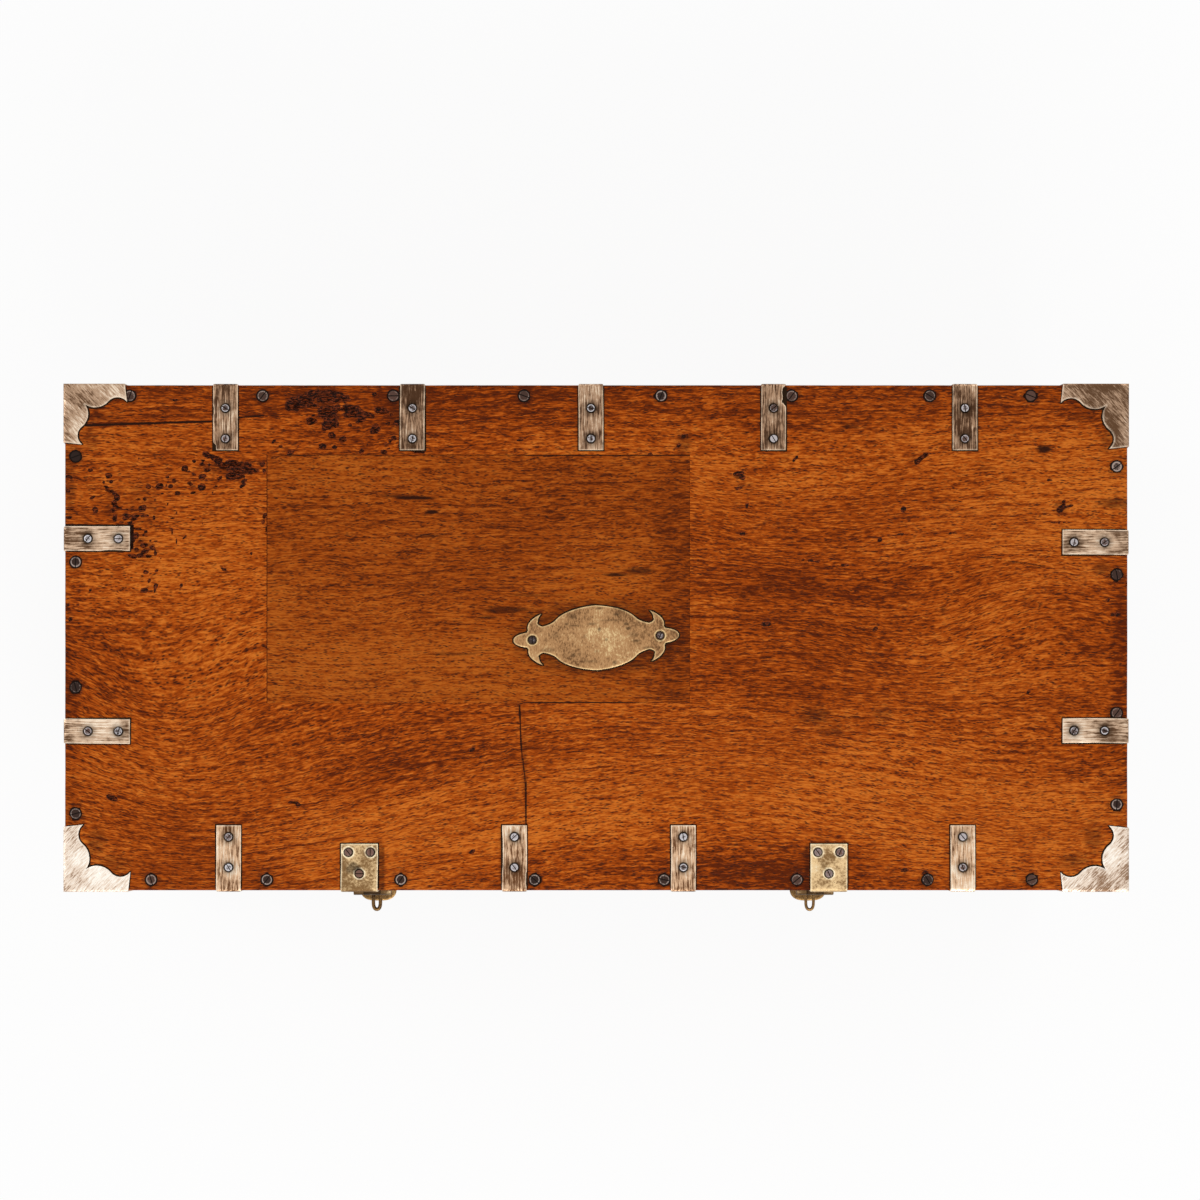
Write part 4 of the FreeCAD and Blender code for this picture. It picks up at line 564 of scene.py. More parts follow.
def grain_bend():
    """Bends the grain's lines round one place, as round a knot that the saw just missed."""
    inputs = [("Place", "Vector", None), ("Centre", "Vector", NO_CHANGE)]
    inputs += [("Spread", "Vector", (10.0, 20.0, 0.0)), ("Lift", "Float", 0.02)]
    tree, given, out = new_group("Grain bend", inputs, [("Place", "Vector")])
    away = vectors(tree, "SUBTRACT", given["Place"], given["Centre"])
    away = stretched(tree, away, given["Spread"])
    square = vectors(tree, "DOT_PRODUCT", away, away)
    bell = sums(tree, "EXPONENT", times(tree, square, -1.0))
    lift = add(tree, "ShaderNodeCombineXYZ", {"Y": times(tree, bell, given["Lift"])}).outputs[0]
    tree.links.new(vectors(tree, "ADD", given["Place"], lift), out["Place"])
    return tree


def teak_grain():
    """Teak along X: growth lines that follow its bands, broken streaks, and short dark pores."""
    inputs = [("Place", "Vector", None), ("Light", "Color", LIGHT_TEAK), ("Middle", "Color", WARM_TEAK)]
    inputs += [("Deep", "Color", DEEP_TEAK), ("Pores", "Color", tint(50, 19, 7)), ("Tone", "Float", 0.0)]
    inputs += [("Figure", "Float", 1.0), ("Lines", "Float", 0.34)]
    tree, given, out = new_group("Teak grain", inputs, [("Colour", "Color"), ("Height", "Float")])
    place = given["Place"]
    sweep = centred(tree, cloud(tree, stretched(tree, place, (1.7, 4.0, 4.0)), detail=1))
    wander = centred(tree, cloud(tree, stretched(tree, place, (7.0, 14.0, 14.0)), detail=2))
    wobble = centred(tree, cloud(tree, stretched(tree, place, (75.0, 90.0, 90.0)), detail=1))
    aside = sums(tree, "MULTIPLY_ADD", wander, 0.014, times(tree, wobble, 0.0026))
    aside = sums(tree, "MULTIPLY_ADD", sweep, 0.034, aside)
    drift = add(tree, "ShaderNodeCombineXYZ", {"Y": aside, "Z": aside}).outputs[0]
    along = vectors(tree, "ADD", place, drift)
    growth = cloud(tree, stretched(tree, along, (0.9, 9.0, 9.0)), detail=1)
    bands = cloud(tree, stretched(tree, along, (1.4, 26.0, 26.0)), detail=3, roughness=0.55)
    streaks = cloud(tree, stretched(tree, along, (21.0, 270.0, 270.0)), detail=4, roughness=0.68)
    fibres = cloud(tree, stretched(tree, along, (90.0, 680.0, 680.0)), detail=3, roughness=0.6)
    blotch = cloud(tree, stretched(tree, place, (9.0, 15.0, 15.0)), detail=4, roughness=0.6)
    across = vectors(tree, "DOT_PRODUCT", along, (0.0, 105.0, 90.0))
    phase = sums(tree, "MULTIPLY_ADD", growth, 8.0, across)
    ring = sums(tree, "FRACT", sums(tree, "MULTIPLY_ADD", fibres, 0.3, phase))
    strength = times(tree, fade(tree, blotch, 0.36, 0.62), fade(tree, streaks, 0.66, 0.4))
    line = times(tree, fade(tree, ring, 0.45, 0.93), sums(tree, "SUBTRACT", 1.0, fade(tree, ring, 0.94, 1.0)))
    line = times(tree, line, strength)
    dots = None
    for scale, wide in (((90.0, 470.0, 470.0), 0.36), ((170.0, 620.0, 620.0), 0.44)):
        pores = add(tree, "ShaderNodeTexVoronoi", {"Vector": stretched(tree, along, scale), "Scale": 1.0})
        these = sums(tree, "SUBTRACT", 1.0, fade(tree, pores.outputs["Distance"], 0.1, wide))
        dots = these if dots is None else sums(tree, "MAXIMUM", dots, these)
    crowd = sums(tree, "MULTIPLY_ADD", line, 0.55, sums(tree, "MULTIPLY_ADD", streaks, -0.6, 0.62))
    dots = times(tree, dots, fade(tree, crowd, 0.1, 0.44))
    light = sums(tree, "SUBTRACT", given["Tone"], times(tree, line, given["Lines"]))
    weights = ((bands, times(tree, given["Figure"], 0.5)), (streaks, 1.15), (fibres, 2.6), (blotch, 0.85))
    for part, weight in weights:
        light = sums(tree, "MULTIPLY_ADD", centred(tree, part), weight, light)
    colour = mixed(
        tree, sums(tree, "ADD", times(tree, light, 2.0), 1.0, clamp=True), given["Deep"], given["Middle"]
    )
    colour = mixed(tree, times(tree, light, 2.0, clamp=True), colour, given["Light"])
    colour = mixed(tree, dots, colour, given["Pores"])
    tree.links.new(colour, out["Colour"])
    height = sums(tree, "MULTIPLY_ADD", streaks, 0.6, times(tree, sums(tree, "ADD", dots, line), -0.5))
    tree.links.new(height, out["Height"])
    return tree


def aged_brass():
    """Brass with brushed lines, mottled tarnish, a bright rubbed rim, and old grime with painted shade by the
    screws and round the sheet.
    """
    inputs = [("Place", "Vector", None), ("Brushing", "Vector", (90.0, 900.0, 900.0))]
    inputs += [("Pale", "Color", tint(232, 214, 180)), ("Tan", "Color", tint(190, 160, 118))]
    inputs += [("Brown", "Color", tint(104, 78, 50)), ("Rim", "Float", 0.0), ("Dirt and shade", "Float", 0.0)]
    inputs += [
        ("Tarnish", "Float", 0.5), ("Contrast", "Float", 2.6), ("Tone", "Float", 0.0),
        ("Mottle", "Float", 1.0)
    ]
    tree, given, out = new_group("Aged brass", inputs, METAL_OUTPUTS)
    place = given["Place"]
    lines = cloud(tree, stretched(tree, place, given["Brushing"]), detail=3, roughness=0.7)
    mottle = cloud(tree, place, scale=110.0, detail=5, roughness=0.7)
    patches = cloud(tree, place, scale=26.0, detail=3, roughness=0.6)
    shine = times(tree, centred(tree, lines), given["Contrast"])
    shine = sums(tree, "MULTIPLY_ADD", centred(tree, mottle), times(tree, given["Mottle"], 2.4), shine)
    shine = sums(tree, "MULTIPLY_ADD", centred(tree, patches), times(tree, given["Mottle"], 2.6), shine)
    shine = sums(
        tree, "ADD", shine,
        sums(tree, "SUBTRACT", given["Tone"], sums(tree, "SUBTRACT", given["Tarnish"], 1.0))
    )
    colour = mixed(tree, fade(tree, shine, -0.25, 0.6), given["Brown"], given["Tan"])
    colour = mixed(tree, fade(tree, shine, 0.55, 1.3), colour, given["Pale"])
    specks = fade(tree, cloud(tree, place, scale=420.0, detail=2, roughness=0.6), 0.66, 0.74)
    colour = mixed(tree, times(tree, specks, 0.75), colour, tint(58, 40, 24))
    rubbed = times(tree, given["Rim"], fade(tree, mottle, 0.3, 0.6, 0.35, 1.0))
    colour = mixed(tree, rubbed, colour, given["Pale"])
    # Dark where painted: old grime, and painted shade in the countersinks and along each sheet's edges
    colour = mixed(
        tree, times(tree, given["Dirt and shade"], fade(tree, mottle, 0.2, 0.7, 1.0, 0.55)), colour, tint(40, 28, 18)
    )
    tree.links.new(colour, out["Colour"])
    tree.links.new(fade(tree, shine, 0.0, 1.2, 0.55, 0.34), out["Roughness"])
    height = sums(tree, "SUBTRACT", sums(tree, "MULTIPLY_ADD", mottle, 0.6, lines), specks)
    tree.links.new(height, out["Height"])
    return tree


def worn_steel():
    """Screw steel, dark with polish and rust, and bright where it is rubbed."""
    inputs = [
        ("Place", "Vector", None), ("Bright", "Color", tint(214, 212, 214)),
        ("Dark", "Color", tint(54, 42, 38))
    ]
    inputs += [("Rim", "Float", 0.0), ("Rubbed", "Float", 0.5)]
    tree, given, out = new_group("Worn steel", inputs, METAL_OUTPUTS)
    each = cloud(tree, given["Place"], scale=19.0, detail=1)
    fine = cloud(tree, given["Place"], scale=520.0, detail=4, roughness=0.7)
    share = sums(tree, "MULTIPLY_ADD", centred(tree, each), 2.2, given["Rubbed"])
    share = sums(tree, "MULTIPLY_ADD", centred(tree, fine), 2.2, share)
    share = sums(tree, "MULTIPLY_ADD", given["Rim"], 0.7, share)
    colour = mixed(tree, fade(tree, share, 0.2, 0.9), given["Dark"], given["Bright"])
    tree.links.new(colour, out["Colour"])
    tree.links.new(fade(tree, share, 0.0, 1.0, 0.6, 0.28), out["Roughness"])
    tree.links.new(fine, out["Height"])
    return tree


# Materials

GRAIN_BEND = grain_bend()
TEAK_GRAIN = teak_grain()
AGED_BRASS = aged_brass()
WORN_STEEL = worn_steel()


def new_material(name):
    material = bpy.data.materials.new(name)
    material.use_nodes = True
    tree = material.node_tree
    return material, tree, tree.nodes["Principled BSDF"]


def use_group(tree, group, values):
    return add(tree, "ShaderNodeGroup", values, node_tree=group).outputs


def own_place(tree, turn=NO_CHANGE, shift=NO_CHANGE):
    """The piece's own coordinates, turned so that the grain runs along X."""
    place = add(tree, "ShaderNodeTexCoord").outputs["Object"]
    return add(tree, "ShaderNodeMapping", {"Vector": place, "Location": shift, "Rotation": turn}).outputs[0]


def painted(tree, name):
    return add(tree, "ShaderNodeAttribute", attribute_name=name).outputs["Fac"]


def raise_by(tree, shader, height, strength, distance):
    bump = add(tree, "ShaderNodeBump", {"Height": height, "Strength": strength, "Distance": distance})
    tree.links.new(bump.outputs[0], shader.inputs["Normal"])


def teak(name, light, middle, deep, turn=NO_CHANGE, shift=NO_CHANGE, figure=1.0, gloss=0.36, bends=()):
    """Polished teak whose pits, marks, painted shade and worn places come from what is painted on the mesh.
    """
    material, tree, shader = new_material(name)
    place = own_place(tree, turn, shift)
    for x, y, spread_x, spread_y, lift in bends:
        values = {
            "Place": place, "Centre": (x, y, 0.0), "Spread": (1 / spread_x, 1 / spread_y, 0.0), "Lift": lift
        }
        place = use_group(tree, GRAIN_BEND, values)["Place"]
    values = {"Place": place, "Light": light, "Middle": middle, "Deep": deep, "Figure": figure}
    values["Tone"] = painted(tree, "tone")
    grain = use_group(tree, TEAK_GRAIN, values)
    ragged = cloud(tree, stretched(tree, place, (230.0, 760.0, 760.0)), detail=3, roughness=0.65)
    uneven = centred(tree, ragged)
    pit = fade(tree, sums(tree, "MULTIPLY_ADD", uneven, 0.5, painted(tree, "pit")), 0.4, 0.58)
    smoke = cloud(tree, stretched(tree, place, (60.0, 240.0, 240.0)), detail=4, roughness=0.7)
    # Dark marks: stains in the polish, and painted shade and shadow where the mesh is painted for it
    marks_and_shade = sums(tree, "MULTIPLY_ADD", centred(tree, smoke), 0.9, painted(tree, "marks_and_shade"))
    colour = mixed(tree, fade(tree, marks_and_shade, 0.12, 1.0), grain["Colour"], tint(44, 14, 3))
    # The pits: the dark share is painted shade in the holes with old grime, the lighter share their ridges
    # with painted glints
    pit_shade_and_glints = mixed(tree, fade(tree, ragged, 0.46, 0.68), tint(25, 5, 1), tint(136, 58, 22))
    colour = mixed(tree, pit, colour, pit_shade_and_glints)
    groove = fade(tree, sums(tree, "MULTIPLY_ADD", uneven, 0.5, painted(tree, "groove")), 0.42, 0.72)
    colour = mixed(tree, groove, colour, tint(38, 13, 4))
    tree.links.new(colour, shader.inputs["Base Color"])
    tree.links.new(fade(tree, grain["Height"], -0.3, 0.5, gloss + 0.12, gloss), shader.inputs["Roughness"])
    shader.inputs["Specular IOR Level"].default_value = 0.06
    deep_pit = times(tree, sums(tree, "MULTIPLY_ADD", uneven, -5.0, 1.0), pit)
    raise_by(tree, shader, sums(tree, "SUBTRACT", grain["Height"], deep_pit), 0.45, 0.0007)
    return material


def brass(name, brushing, pale, tan, brown, tarnish, contrast, mottle=1.0, turn=NO_CHANGE):
    material, tree, shader = new_material(name)
    values = {"Place": own_place(tree, turn), "Brushing": brushing}
    values.update({"Pale": tint(*pale), "Tan": tint(*tan), "Brown": tint(*brown)})
    values.update({"Tarnish": tarnish, "Contrast": contrast, "Mottle": mottle})
    values.update({"Rim": painted(tree, "rim"), "Dirt and shade": painted(tree, "dirt_and_shade"), "Tone": painted(tree, "tone")})
    metal = use_group(tree, AGED_BRASS, values)
    tree.links.new(metal["Colour"], shader.inputs["Base Color"])
    tree.links.new(metal["Roughness"], shader.inputs["Roughness"])
    shader.inputs["Metallic"].default_value = 1.0
    raise_by(tree, shader, metal["Height"], 0.5, 0.00025)
    return material


def steel(name, bright, dark, rubbed):
    material, tree, shader = new_material(name)
    values = {"Place": own_place(tree), "Bright": tint(*bright), "Dark": tint(*dark), "Rubbed": rubbed}
    values["Rim"] = times(
        tree, painted(tree, "rim"), sums(tree, "MULTIPLY_ADD", painted(tree, "worn"), 1.6, 0.3)
    )
    metal = use_group(tree, WORN_STEEL, values)
    colour = mixed(tree, painted(tree, "rust"), metal["Colour"], tint(112, 82, 70))
    # Dark where painted: old grime, and painted shade round the screw heads
    colour = mixed(tree, painted(tree, "dirt_and_shade"), colour, tint(22, 14, 11))
    tree.links.new(colour, shader.inputs["Base Color"])
    tree.links.new(metal["Roughness"], shader.inputs["Roughness"])
    shader.inputs["Metallic"].default_value = 0.9
    raise_by(tree, shader, metal["Height"], 0.4, 0.0002)
    return material


# Where the lid's grain bends, in metres: x, y, reach along and across, and how far it is pushed

LID_BENDS = (
    (-0.40, -0.17, 0.24, 0.12, 0.05), (-0.45, -0.04, 0.11, 0.06, 0.026), (-0.33, 0.05, 0.09, 0.05, -0.014),
    (0.46, 0.05, 0.12, 0.06, -0.02), (0.2, 0.16, 0.14, 0.06, 0.014), (0.33, 0.02, 0.1, 0.06, 0.016),
    (0.1, -0.15, 0.22, 0.07, -0.014), (0.45, -0.14, 0.17, 0.07, 0.02),
)
CASE_TONES = (tint(178, 102, 50), tint(142, 66, 20), tint(84, 32, 9))
BASE_TONES = (tint(150, 84, 42), tint(118, 54, 18), tint(66, 26, 8))
lid_teak = teak("lid_teak", LIGHT_TEAK, WARM_TEAK, DEEP_TEAK, bends=LID_BENDS)
inset_teak = teak(
    "inset_teak", tint(178, 92, 24), tint(150, 65, 7), tint(84, 30, 2), shift=(0.31, 0.47, 0.0), figure=1.1
)
case_teak = teak("case_teak", *CASE_TONES, shift=(0.0, 0.2, 0.9))
end_teak = teak("end_teak", *CASE_TONES, turn=(0.0, 0.0, QUARTER), shift=(0.4, 0.0, 0.3))
base_teak = teak("base_teak", *BASE_TONES, shift=(0.7, 0.0, 0.0))
base_end_teak = teak("base_end_teak", *BASE_TONES, turn=(0.0, 0.0, QUARTER))
FLOOR_TONES = (tint(168, 108, 66), tint(150, 86, 40), tint(98, 50, 22))
floor_wood = teak("floor_wood", *FLOOR_TONES, shift=(0.1, 0.6, 0.0), gloss=0.6)

ALONG_X = (50.0, 900.0, 900.0)
ALONG_Y = (900.0, 50.0, 900.0)
ALL_WAYS = (420.0, 420.0, 420.0)
# The back straps' and back corners' brass is darker than the ends' and the front's: partly their own tarnish,
# partly painted light, as the light falls from the front
back_brass = brass(
    "back_strap_brass", ALONG_Y, (228, 204, 176), (166, 132, 104), (72, 48, 32), 0.58, 4.2, 0.7
)
front_brass = brass(
    "front_strap_brass", ALONG_Y, (240, 222, 198), (204, 168, 134), (96, 62, 38), 0.42, 4.4, 0.7
)
end_brass = brass("end_strap_brass", ALONG_X, (238, 218, 194), (196, 166, 138), (92, 66, 46), 0.46, 4.2, 0.7)
corner_brass = brass(
    "corner_brass", (130.0, 820.0, 820.0), (236, 216, 192), (172, 142, 116), (92, 66, 46), 0.44,
    3.2, 0.3, (0.0, 0.0, 0.8)
)
front_corner_brass = brass(
    "front_corner_brass", (120.0, 760.0, 760.0), (250, 242, 230), (220, 202, 184), (136, 106, 82),
    0.24, 4.0, 0.3, (0.0, 0.0, -0.8)
)
plate_brass = brass(
    "plate_brass", (640.0, 330.0, 640.0), (226, 196, 144), (172, 130, 88), (100, 70, 44), 0.6,
    2.4, 0.5
)
hasp_brass = brass("hasp_brass", ALL_WAYS, (248, 232, 198), (214, 184, 138), (122, 92, 58), 0.4, 1.6, 0.8)
eye_brass = brass("eye_brass", ALL_WAYS, (190, 152, 98), (128, 98, 60), (62, 44, 27), 0.5, 1.6)
handle_brass = brass("handle_brass", ALL_WAYS, (232, 208, 158), (182, 148, 96), (96, 70, 42), 0.5, 1.6)
bright_steel = steel("bright_steel", (204, 200, 202), (60, 48, 44), 0.36)
dark_steel = steel("dark_steel", (168, 150, 140), (42, 30, 26), -0.1)


# The lid's top board


def ruled(stops):
    """Ruled lines between stops, each stop a place and the step that leads on from it, in mm."""
    lines = []
    for (start, step), (end, _) in zip(stops, stops[1:]):
        count = max(1, round(abs(end - start) / step))
        lines.extend(start + (end - start) * index / count for index in range(count))
    lines.append(stops[-1][0])
    return np.array(lines) * MM


def with_seam(line, place):
    """Brings in two ruled lines close together, one at each side of the panel's joint."""
    kept = line[np.abs(line - place) > 0.6 * MM]
    return np.sort(np.concatenate([kept, [place - 0.28 * MM, place + 0.28 * MM]]))


def board_grid(name, columns, rows):
    """A ruled sheet whose lines stand at the given places."""
    bpy.ops.mesh.primitive_grid_add(x_subdivisions=len(columns) - 1, y_subdivisions=len(rows) - 1, size=1.0)
    sheet = named(name)
    points = points_of(sheet)
    column = np.rint((points[:, 0] + 0.5) * (len(columns) - 1)).astype(int)
    row = np.rint((points[:, 1] + 0.5) * (len(rows) - 1)).astype(int)
    points[:, 0], points[:, 1] = columns[column], rows[row]
    return sheet, points


def carve(points, gouges):
    """The depth of the borers' work at each point, and how far each point is inside it."""
    depth, inside = np.zeros(len(points)), np.zeros(len(points))
    for x, y, half_length, half_width, turn, deep in gouges:
        offset = points[:, :2] - np.array((x, y)) * MM
        reach = max(half_length, half_width) * 1.7 * MM
        near = np.flatnonzero((np.abs(offset) < reach).all(axis=1))
        if not len(near):
            continue
        offset, angle = offset[near], math.radians(turn)
        along = offset[:, 0] * math.cos(angle) + offset[:, 1] * math.sin(angle)
        across = offset[:, 1] * math.cos(angle) - offset[:, 0] * math.sin(angle)
        away = np.hypot(along / (half_length * MM), across / (half_width * MM))
        away = away + 0.22 * rolling(points[near, 0] * 330, points[near, 1] * 520, 5)
        bowl = 1 - soft_step(away, 0.45, 1.05)
        ridges = 0.72 + 0.28 * np.sin(
            points[near, 1] * 2100 + 2.4 * rolling(points[near, 0] * 90, points[near, 1] * 300, 8)
        )
        depth[near] = np.maximum(depth[near], bowl * ridges * deep * 1.5 * MM)
        inside[near] = np.maximum(inside[near], np.clip((1.45 - away) / 0.9, 0, 1))
    return depth, inside


def marked(points, marks):
    """How dark the soft marks are at each point."""
    total = np.zeros(len(points))
    for x, y, half_length, half_width, strength in marks:
        away = np.hypot(
            (points[:, 0] - x * MM) / (half_length * MM), (points[:, 1] - y * MM) / (half_width * MM)
        )
        total = np.maximum(total, strength * (1 - soft_step(away, 0.35, 1.25)))
    return total


def lined(points, lines):
    total = np.zeros(len(points))
    for x0, y0, x1, y1, width, darkness in lines:
        away = distance_to_line(points[:, :2], (x0 * MM, y0 * MM), (x1 * MM, y1 * MM))
        total = np.maximum(total, darkness * np.clip(1.35 - away / (width * 1.5 * MM), 0, 1))
    return total


def near_places(points, places, inner, outer):
    """From 1 beside any of these places to 0 at the outer distance."""
    away = np.min([np.hypot(points[:, 0] - x, points[:, 1] - y) for x, y in places], axis=0)
    return 1 - soft_step(away, inner, outer)


def near_boxes(points, nodes, reach):
    """From 1 under the nodes' boxes to 0 at a distance outside them."""
    nearest = np.full(len(points), 1.0)
    for node in nodes:
        low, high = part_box(node)
        across = np.maximum(np.maximum(low.x - points[:, 0], points[:, 0] - high.x), 0)
        up = np.maximum(np.maximum(low.y - points[:, 1], points[:, 1] - high.y), 0)
        nearest = np.minimum(nearest, np.hypot(across, up))
    return 1 - soft_step(nearest, 0.0, reach)


def to_sides(points, low, high):
    """How far points lie inside a box, in plan."""
    across = np.minimum(points[:, 0] - low.x, high.x - points[:, 0])
    return np.minimum(across, np.minimum(points[:, 1] - low.y, high.y - points[:, 1]))


def close_below(sheet, bottom):
    """Runs a wall down from the sheet's border and closes it with a flat face at this height."""
    with editing(sheet, "EDGE", "DESELECT"):
        bpy.ops.mesh.select_non_manifold()
        bpy.ops.mesh.extrude_region_move(TRANSFORM_OT_translate={"value": (0.0, 0.0, -1.0)})
        bpy.ops.mesh.edge_face_add()
    face_outwards(sheet)
    solid = points_of(sheet)
    solid[solid[:, 2] < TOP - 0.5, 2] = bottom
    set_points(sheet, solid)
    return solid


def lid_top_board(edge_screws):
    """The wide top board, with its screw holes, its bed for the panel and the borers' work."""
    x_stops = [
        (-550, 0.5), (-548.5, 1.5), (-165, 6), (-86, 1.5), (-68, 5), (140, 3.2), (240, 5), (318, 2.5),
        (342, 4), (472, 2.5), (492, 3)
    ]
    x_stops += [(548.5, 0.5), (550, 1)]
    low, high = FRONT / MM, BACK / MM
    y_stops = [
        (low, 0.5), (low + 1.5, 3), (-230, 5), (-162, 2.2), (-150, 5), (75, 1.5), (high - 1.5, 0.5), (high, 1)
    ]
    columns, rows = ruled(x_stops), ruled(y_stops)
    for place in (panel_low.x, panel_high.x):
        columns = with_seam(columns, place)
    for place in (panel_low.y, panel_high.y):
        rows = with_seam(rows, place)
    board, points = board_grid("lid_top_board_teak", columns, rows)
    depth, _ = carve(points, GOUGES)
    edge = to_sides(points, board_low, board_high)
    easing = WOOD_EASING * (1 + 0.5 * rolling(points[:, 0] * 40, points[:, 1] * 40, 3))
    arris = np.clip(1 - edge / easing, 0, 1)
    fall = easing * (1 - np.sqrt(np.clip(1 - arris**2, 0, 1))) * 0.9
    screws = [(seat.x, seat.y) for seat, _ in edge_screws]
    sunk = near_places(points, screws, EDGE_HEAD * 0.96, EDGE_HEAD * 1.16) * 1.4 * MM
    crack = lined(points, LID_LINES)
    height = TOP - np.maximum.reduce([depth, sunk, crack * 0.5 * MM]) - fall
    height -= 0.12 * MM * (1 + rolling(points[:, 0] * 9, points[:, 1] * 14, 21))
    height[to_sides(points, panel_low, panel_high) > -HAIR] = panel_low.z
    points[:, 2] = height
    set_points(board, points)
    solid = close_below(board, RIM_TOP)
    upper = solid[:, 2] > RIM_TOP + HAIR
    _, inside = carve(solid, GOUGES)
    paint(board, "pit", np.where(upper, inside, 0))
    halo = near_places(solid, screws, EDGE_HEAD, EDGE_HEAD * 2.6) * 0.5
    kinds = ("lid_strap", "lid_corner", "left_hasp_p", "right_hasp_p")
    fittings = [name for name in frame["nodes"] if name.startswith(kinds)]
    # Painted shadow and dark halo beside the fittings, except the corners
    dirt_and_shade = near_boxes(solid, [name for name in fittings if "corner" not in name], 3.2 * MM) * 0.62
    # Painted shade: darker towards the board's edges
    edge_shade = (1 - soft_step(to_sides(solid, board_low, board_high), 0.0, 9 * MM)) * 0.3
    round_plate = np.hypot(solid[:, 0] / 0.1, (solid[:, 1] - MIDDLE_Y) / 0.045)
    # Stains and dark halos, with painted shadow beside the fittings and round the centre plate, and painted
    # shade along the edges
    marks_and_shade = np.maximum.reduce(
        [marked(solid, MARKS), halo, dirt_and_shade, edge_shade, 0.35 * (1 - soft_step(round_plate, 0.8, 1.3))]
    )
    paint(board, "marks_and_shade", np.where(upper, marks_and_shade, 0))
    # The recess round each edge screw is painted dark: painted shade in it, with old grime
    hole = near_places(solid, screws, EDGE_HEAD, EDGE_HEAD * 1.2)
    seam = -to_sides(solid, panel_low, panel_high)
    joint = (1 - soft_step(seam, 0.1 * MM, 0.7 * MM)) * 0.3
    paint(board, "groove", np.where(upper, np.maximum.reduce([lined(solid, LID_LINES), hole, joint]), 0))
    tone = 0.25 * rolling(solid[:, 0] * 5 + 9, solid[:, 1] * 9, 31)
    joint_y = np.interp(
        solid[:, 0] / MM, (-550, -397, -370, -318, -275, 550), (230, 235, 239.1, 242.5, 247, 232)
    ) * MM
    tone -= 0.3 * soft_step(solid[:, 1] - joint_y, -0.6 * MM, 0.8 * MM) * np.where(solid[:, 0] < -0.27, 1, 0)
    tone -= 0.26 * soft_step(solid[:, 1] - joint_y, -24 * MM, 10 * MM) * soft_step(solid[:, 0], -0.28, -0.2)
    tone += 0.12 * (1 - soft_step(solid[:, 1], -0.16, -0.06))
    tone -= 0.14 * soft_step(solid[:, 0], 0.1, 0.25) * soft_step(solid[:, 1], -0.03, 0.02) * (
        1 - soft_step(solid[:, 1], 0.05, 0.1)
    )
    tone += marked(solid, SUNNED) - marked(solid, SHADED)
    paint(board, "tone", np.where(upper, tone, 0))
    smooth(board, 40)
    return fit(board, lid_teak, "lid_top_board", "lid_teak")


def lid_inset_panel():
    """The darker panel let into the lid, with its old streaks."""
    overlap, lines = 0.2, []
    for low, high, step in ((panel_low.x, panel_high.x, 2.2), (panel_low.y, panel_high.y, 1.9)):
        stops = [(low / MM - overlap, 0.5), (low / MM + 1.1, step), (high / MM - 1.1, 0.5)]
        lines.append(ruled(stops + [(high / MM + overlap, 1)]))
    panel, points = board_grid("lid_inset_panel_teak", *lines)
    to_side = to_sides(points, panel_low, panel_high) + overlap * MM
    arris = np.clip(1 - to_side / (0.8 * MM), 0, 1)
    streak = marked(points, STREAKS)
    points[:, 2] = TOP - 0.05 * MM - arris**2 * 0.14 * MM - streak * 0.25 * MM
    points[:, 2] -= 0.1 * MM * (1 + rolling(points[:, 0] * 12, points[:, 1] * 20, 4))
    set_points(panel, points)
    solid = close_below(panel, panel_low.z)
    streak = marked(solid, STREAKS)
    plate = np.hypot(solid[:, 0] / 0.095, (solid[:, 1] - MIDDLE_Y) / 0.042)
    shadow = 0.55 * (1 - soft_step(plate, 0.75, 1.25))
    paint(panel, "marks_and_shade", np.maximum(streak * 1.15, shadow))
    to_side = np.minimum(solid[:, 0] - panel_low.x, panel_high.x - solid[:, 0])
    to_top = panel_high.y - solid[:, 1]
    rim = np.where(solid[:, 0] < 0, 0.72, 0.5) * (1 - soft_step(to_side, 0.1 * MM, 1.5 * MM))
    crack = np.interp(
        solid[:, 0] / MM, (-328, -322, -300, -292, -80, -66, 96), (0.5, 1.0, 1.0, 0.7, 0.65, 1.1, 1.1)
    )
    heavy = (1 - soft_step(to_top, 0.2 * MM, 1.7 * MM)) * crack
    to_low = solid[:, 1] - panel_low.y
    low_joint = np.interp(solid[:, 0] / MM, (-328, -90, -60, 20, 60, 96), (0.25, 0.35, 1.0, 0.95, 0.45, 0.4))
    low_joint = low_joint * (1 - soft_step(to_low, 0.3 * MM, 1.9 * MM))
    paint(panel, "groove", np.maximum.reduce([rim, heavy, low_joint]))
    tone = 0.02 + 0.22 * rolling(solid[:, 0] * 8, solid[:, 1] * 16, 12) + 0.18 * (
        1 - soft_step(solid[:, 1], -0.03, 0.04)
    )
    tone += 0.14 * soft_step(solid[:, 0], -0.06, 0.02) * soft_step(solid[:, 1], 0.03, 0.08)
    tone -= 0.26 * soft_step(solid[:, 0], 0.04, 0.085)
    paint(
        panel, "tone",
        tone - 0.16 * soft_step(solid[:, 0], -0.02, 0.03) * (1 - soft_step(solid[:, 1], 0.0, 0.04))
    )
    smooth(panel, 40)
    return fit(panel, inset_teak, "lid_inset_panel", "inset_teak")


# Screws


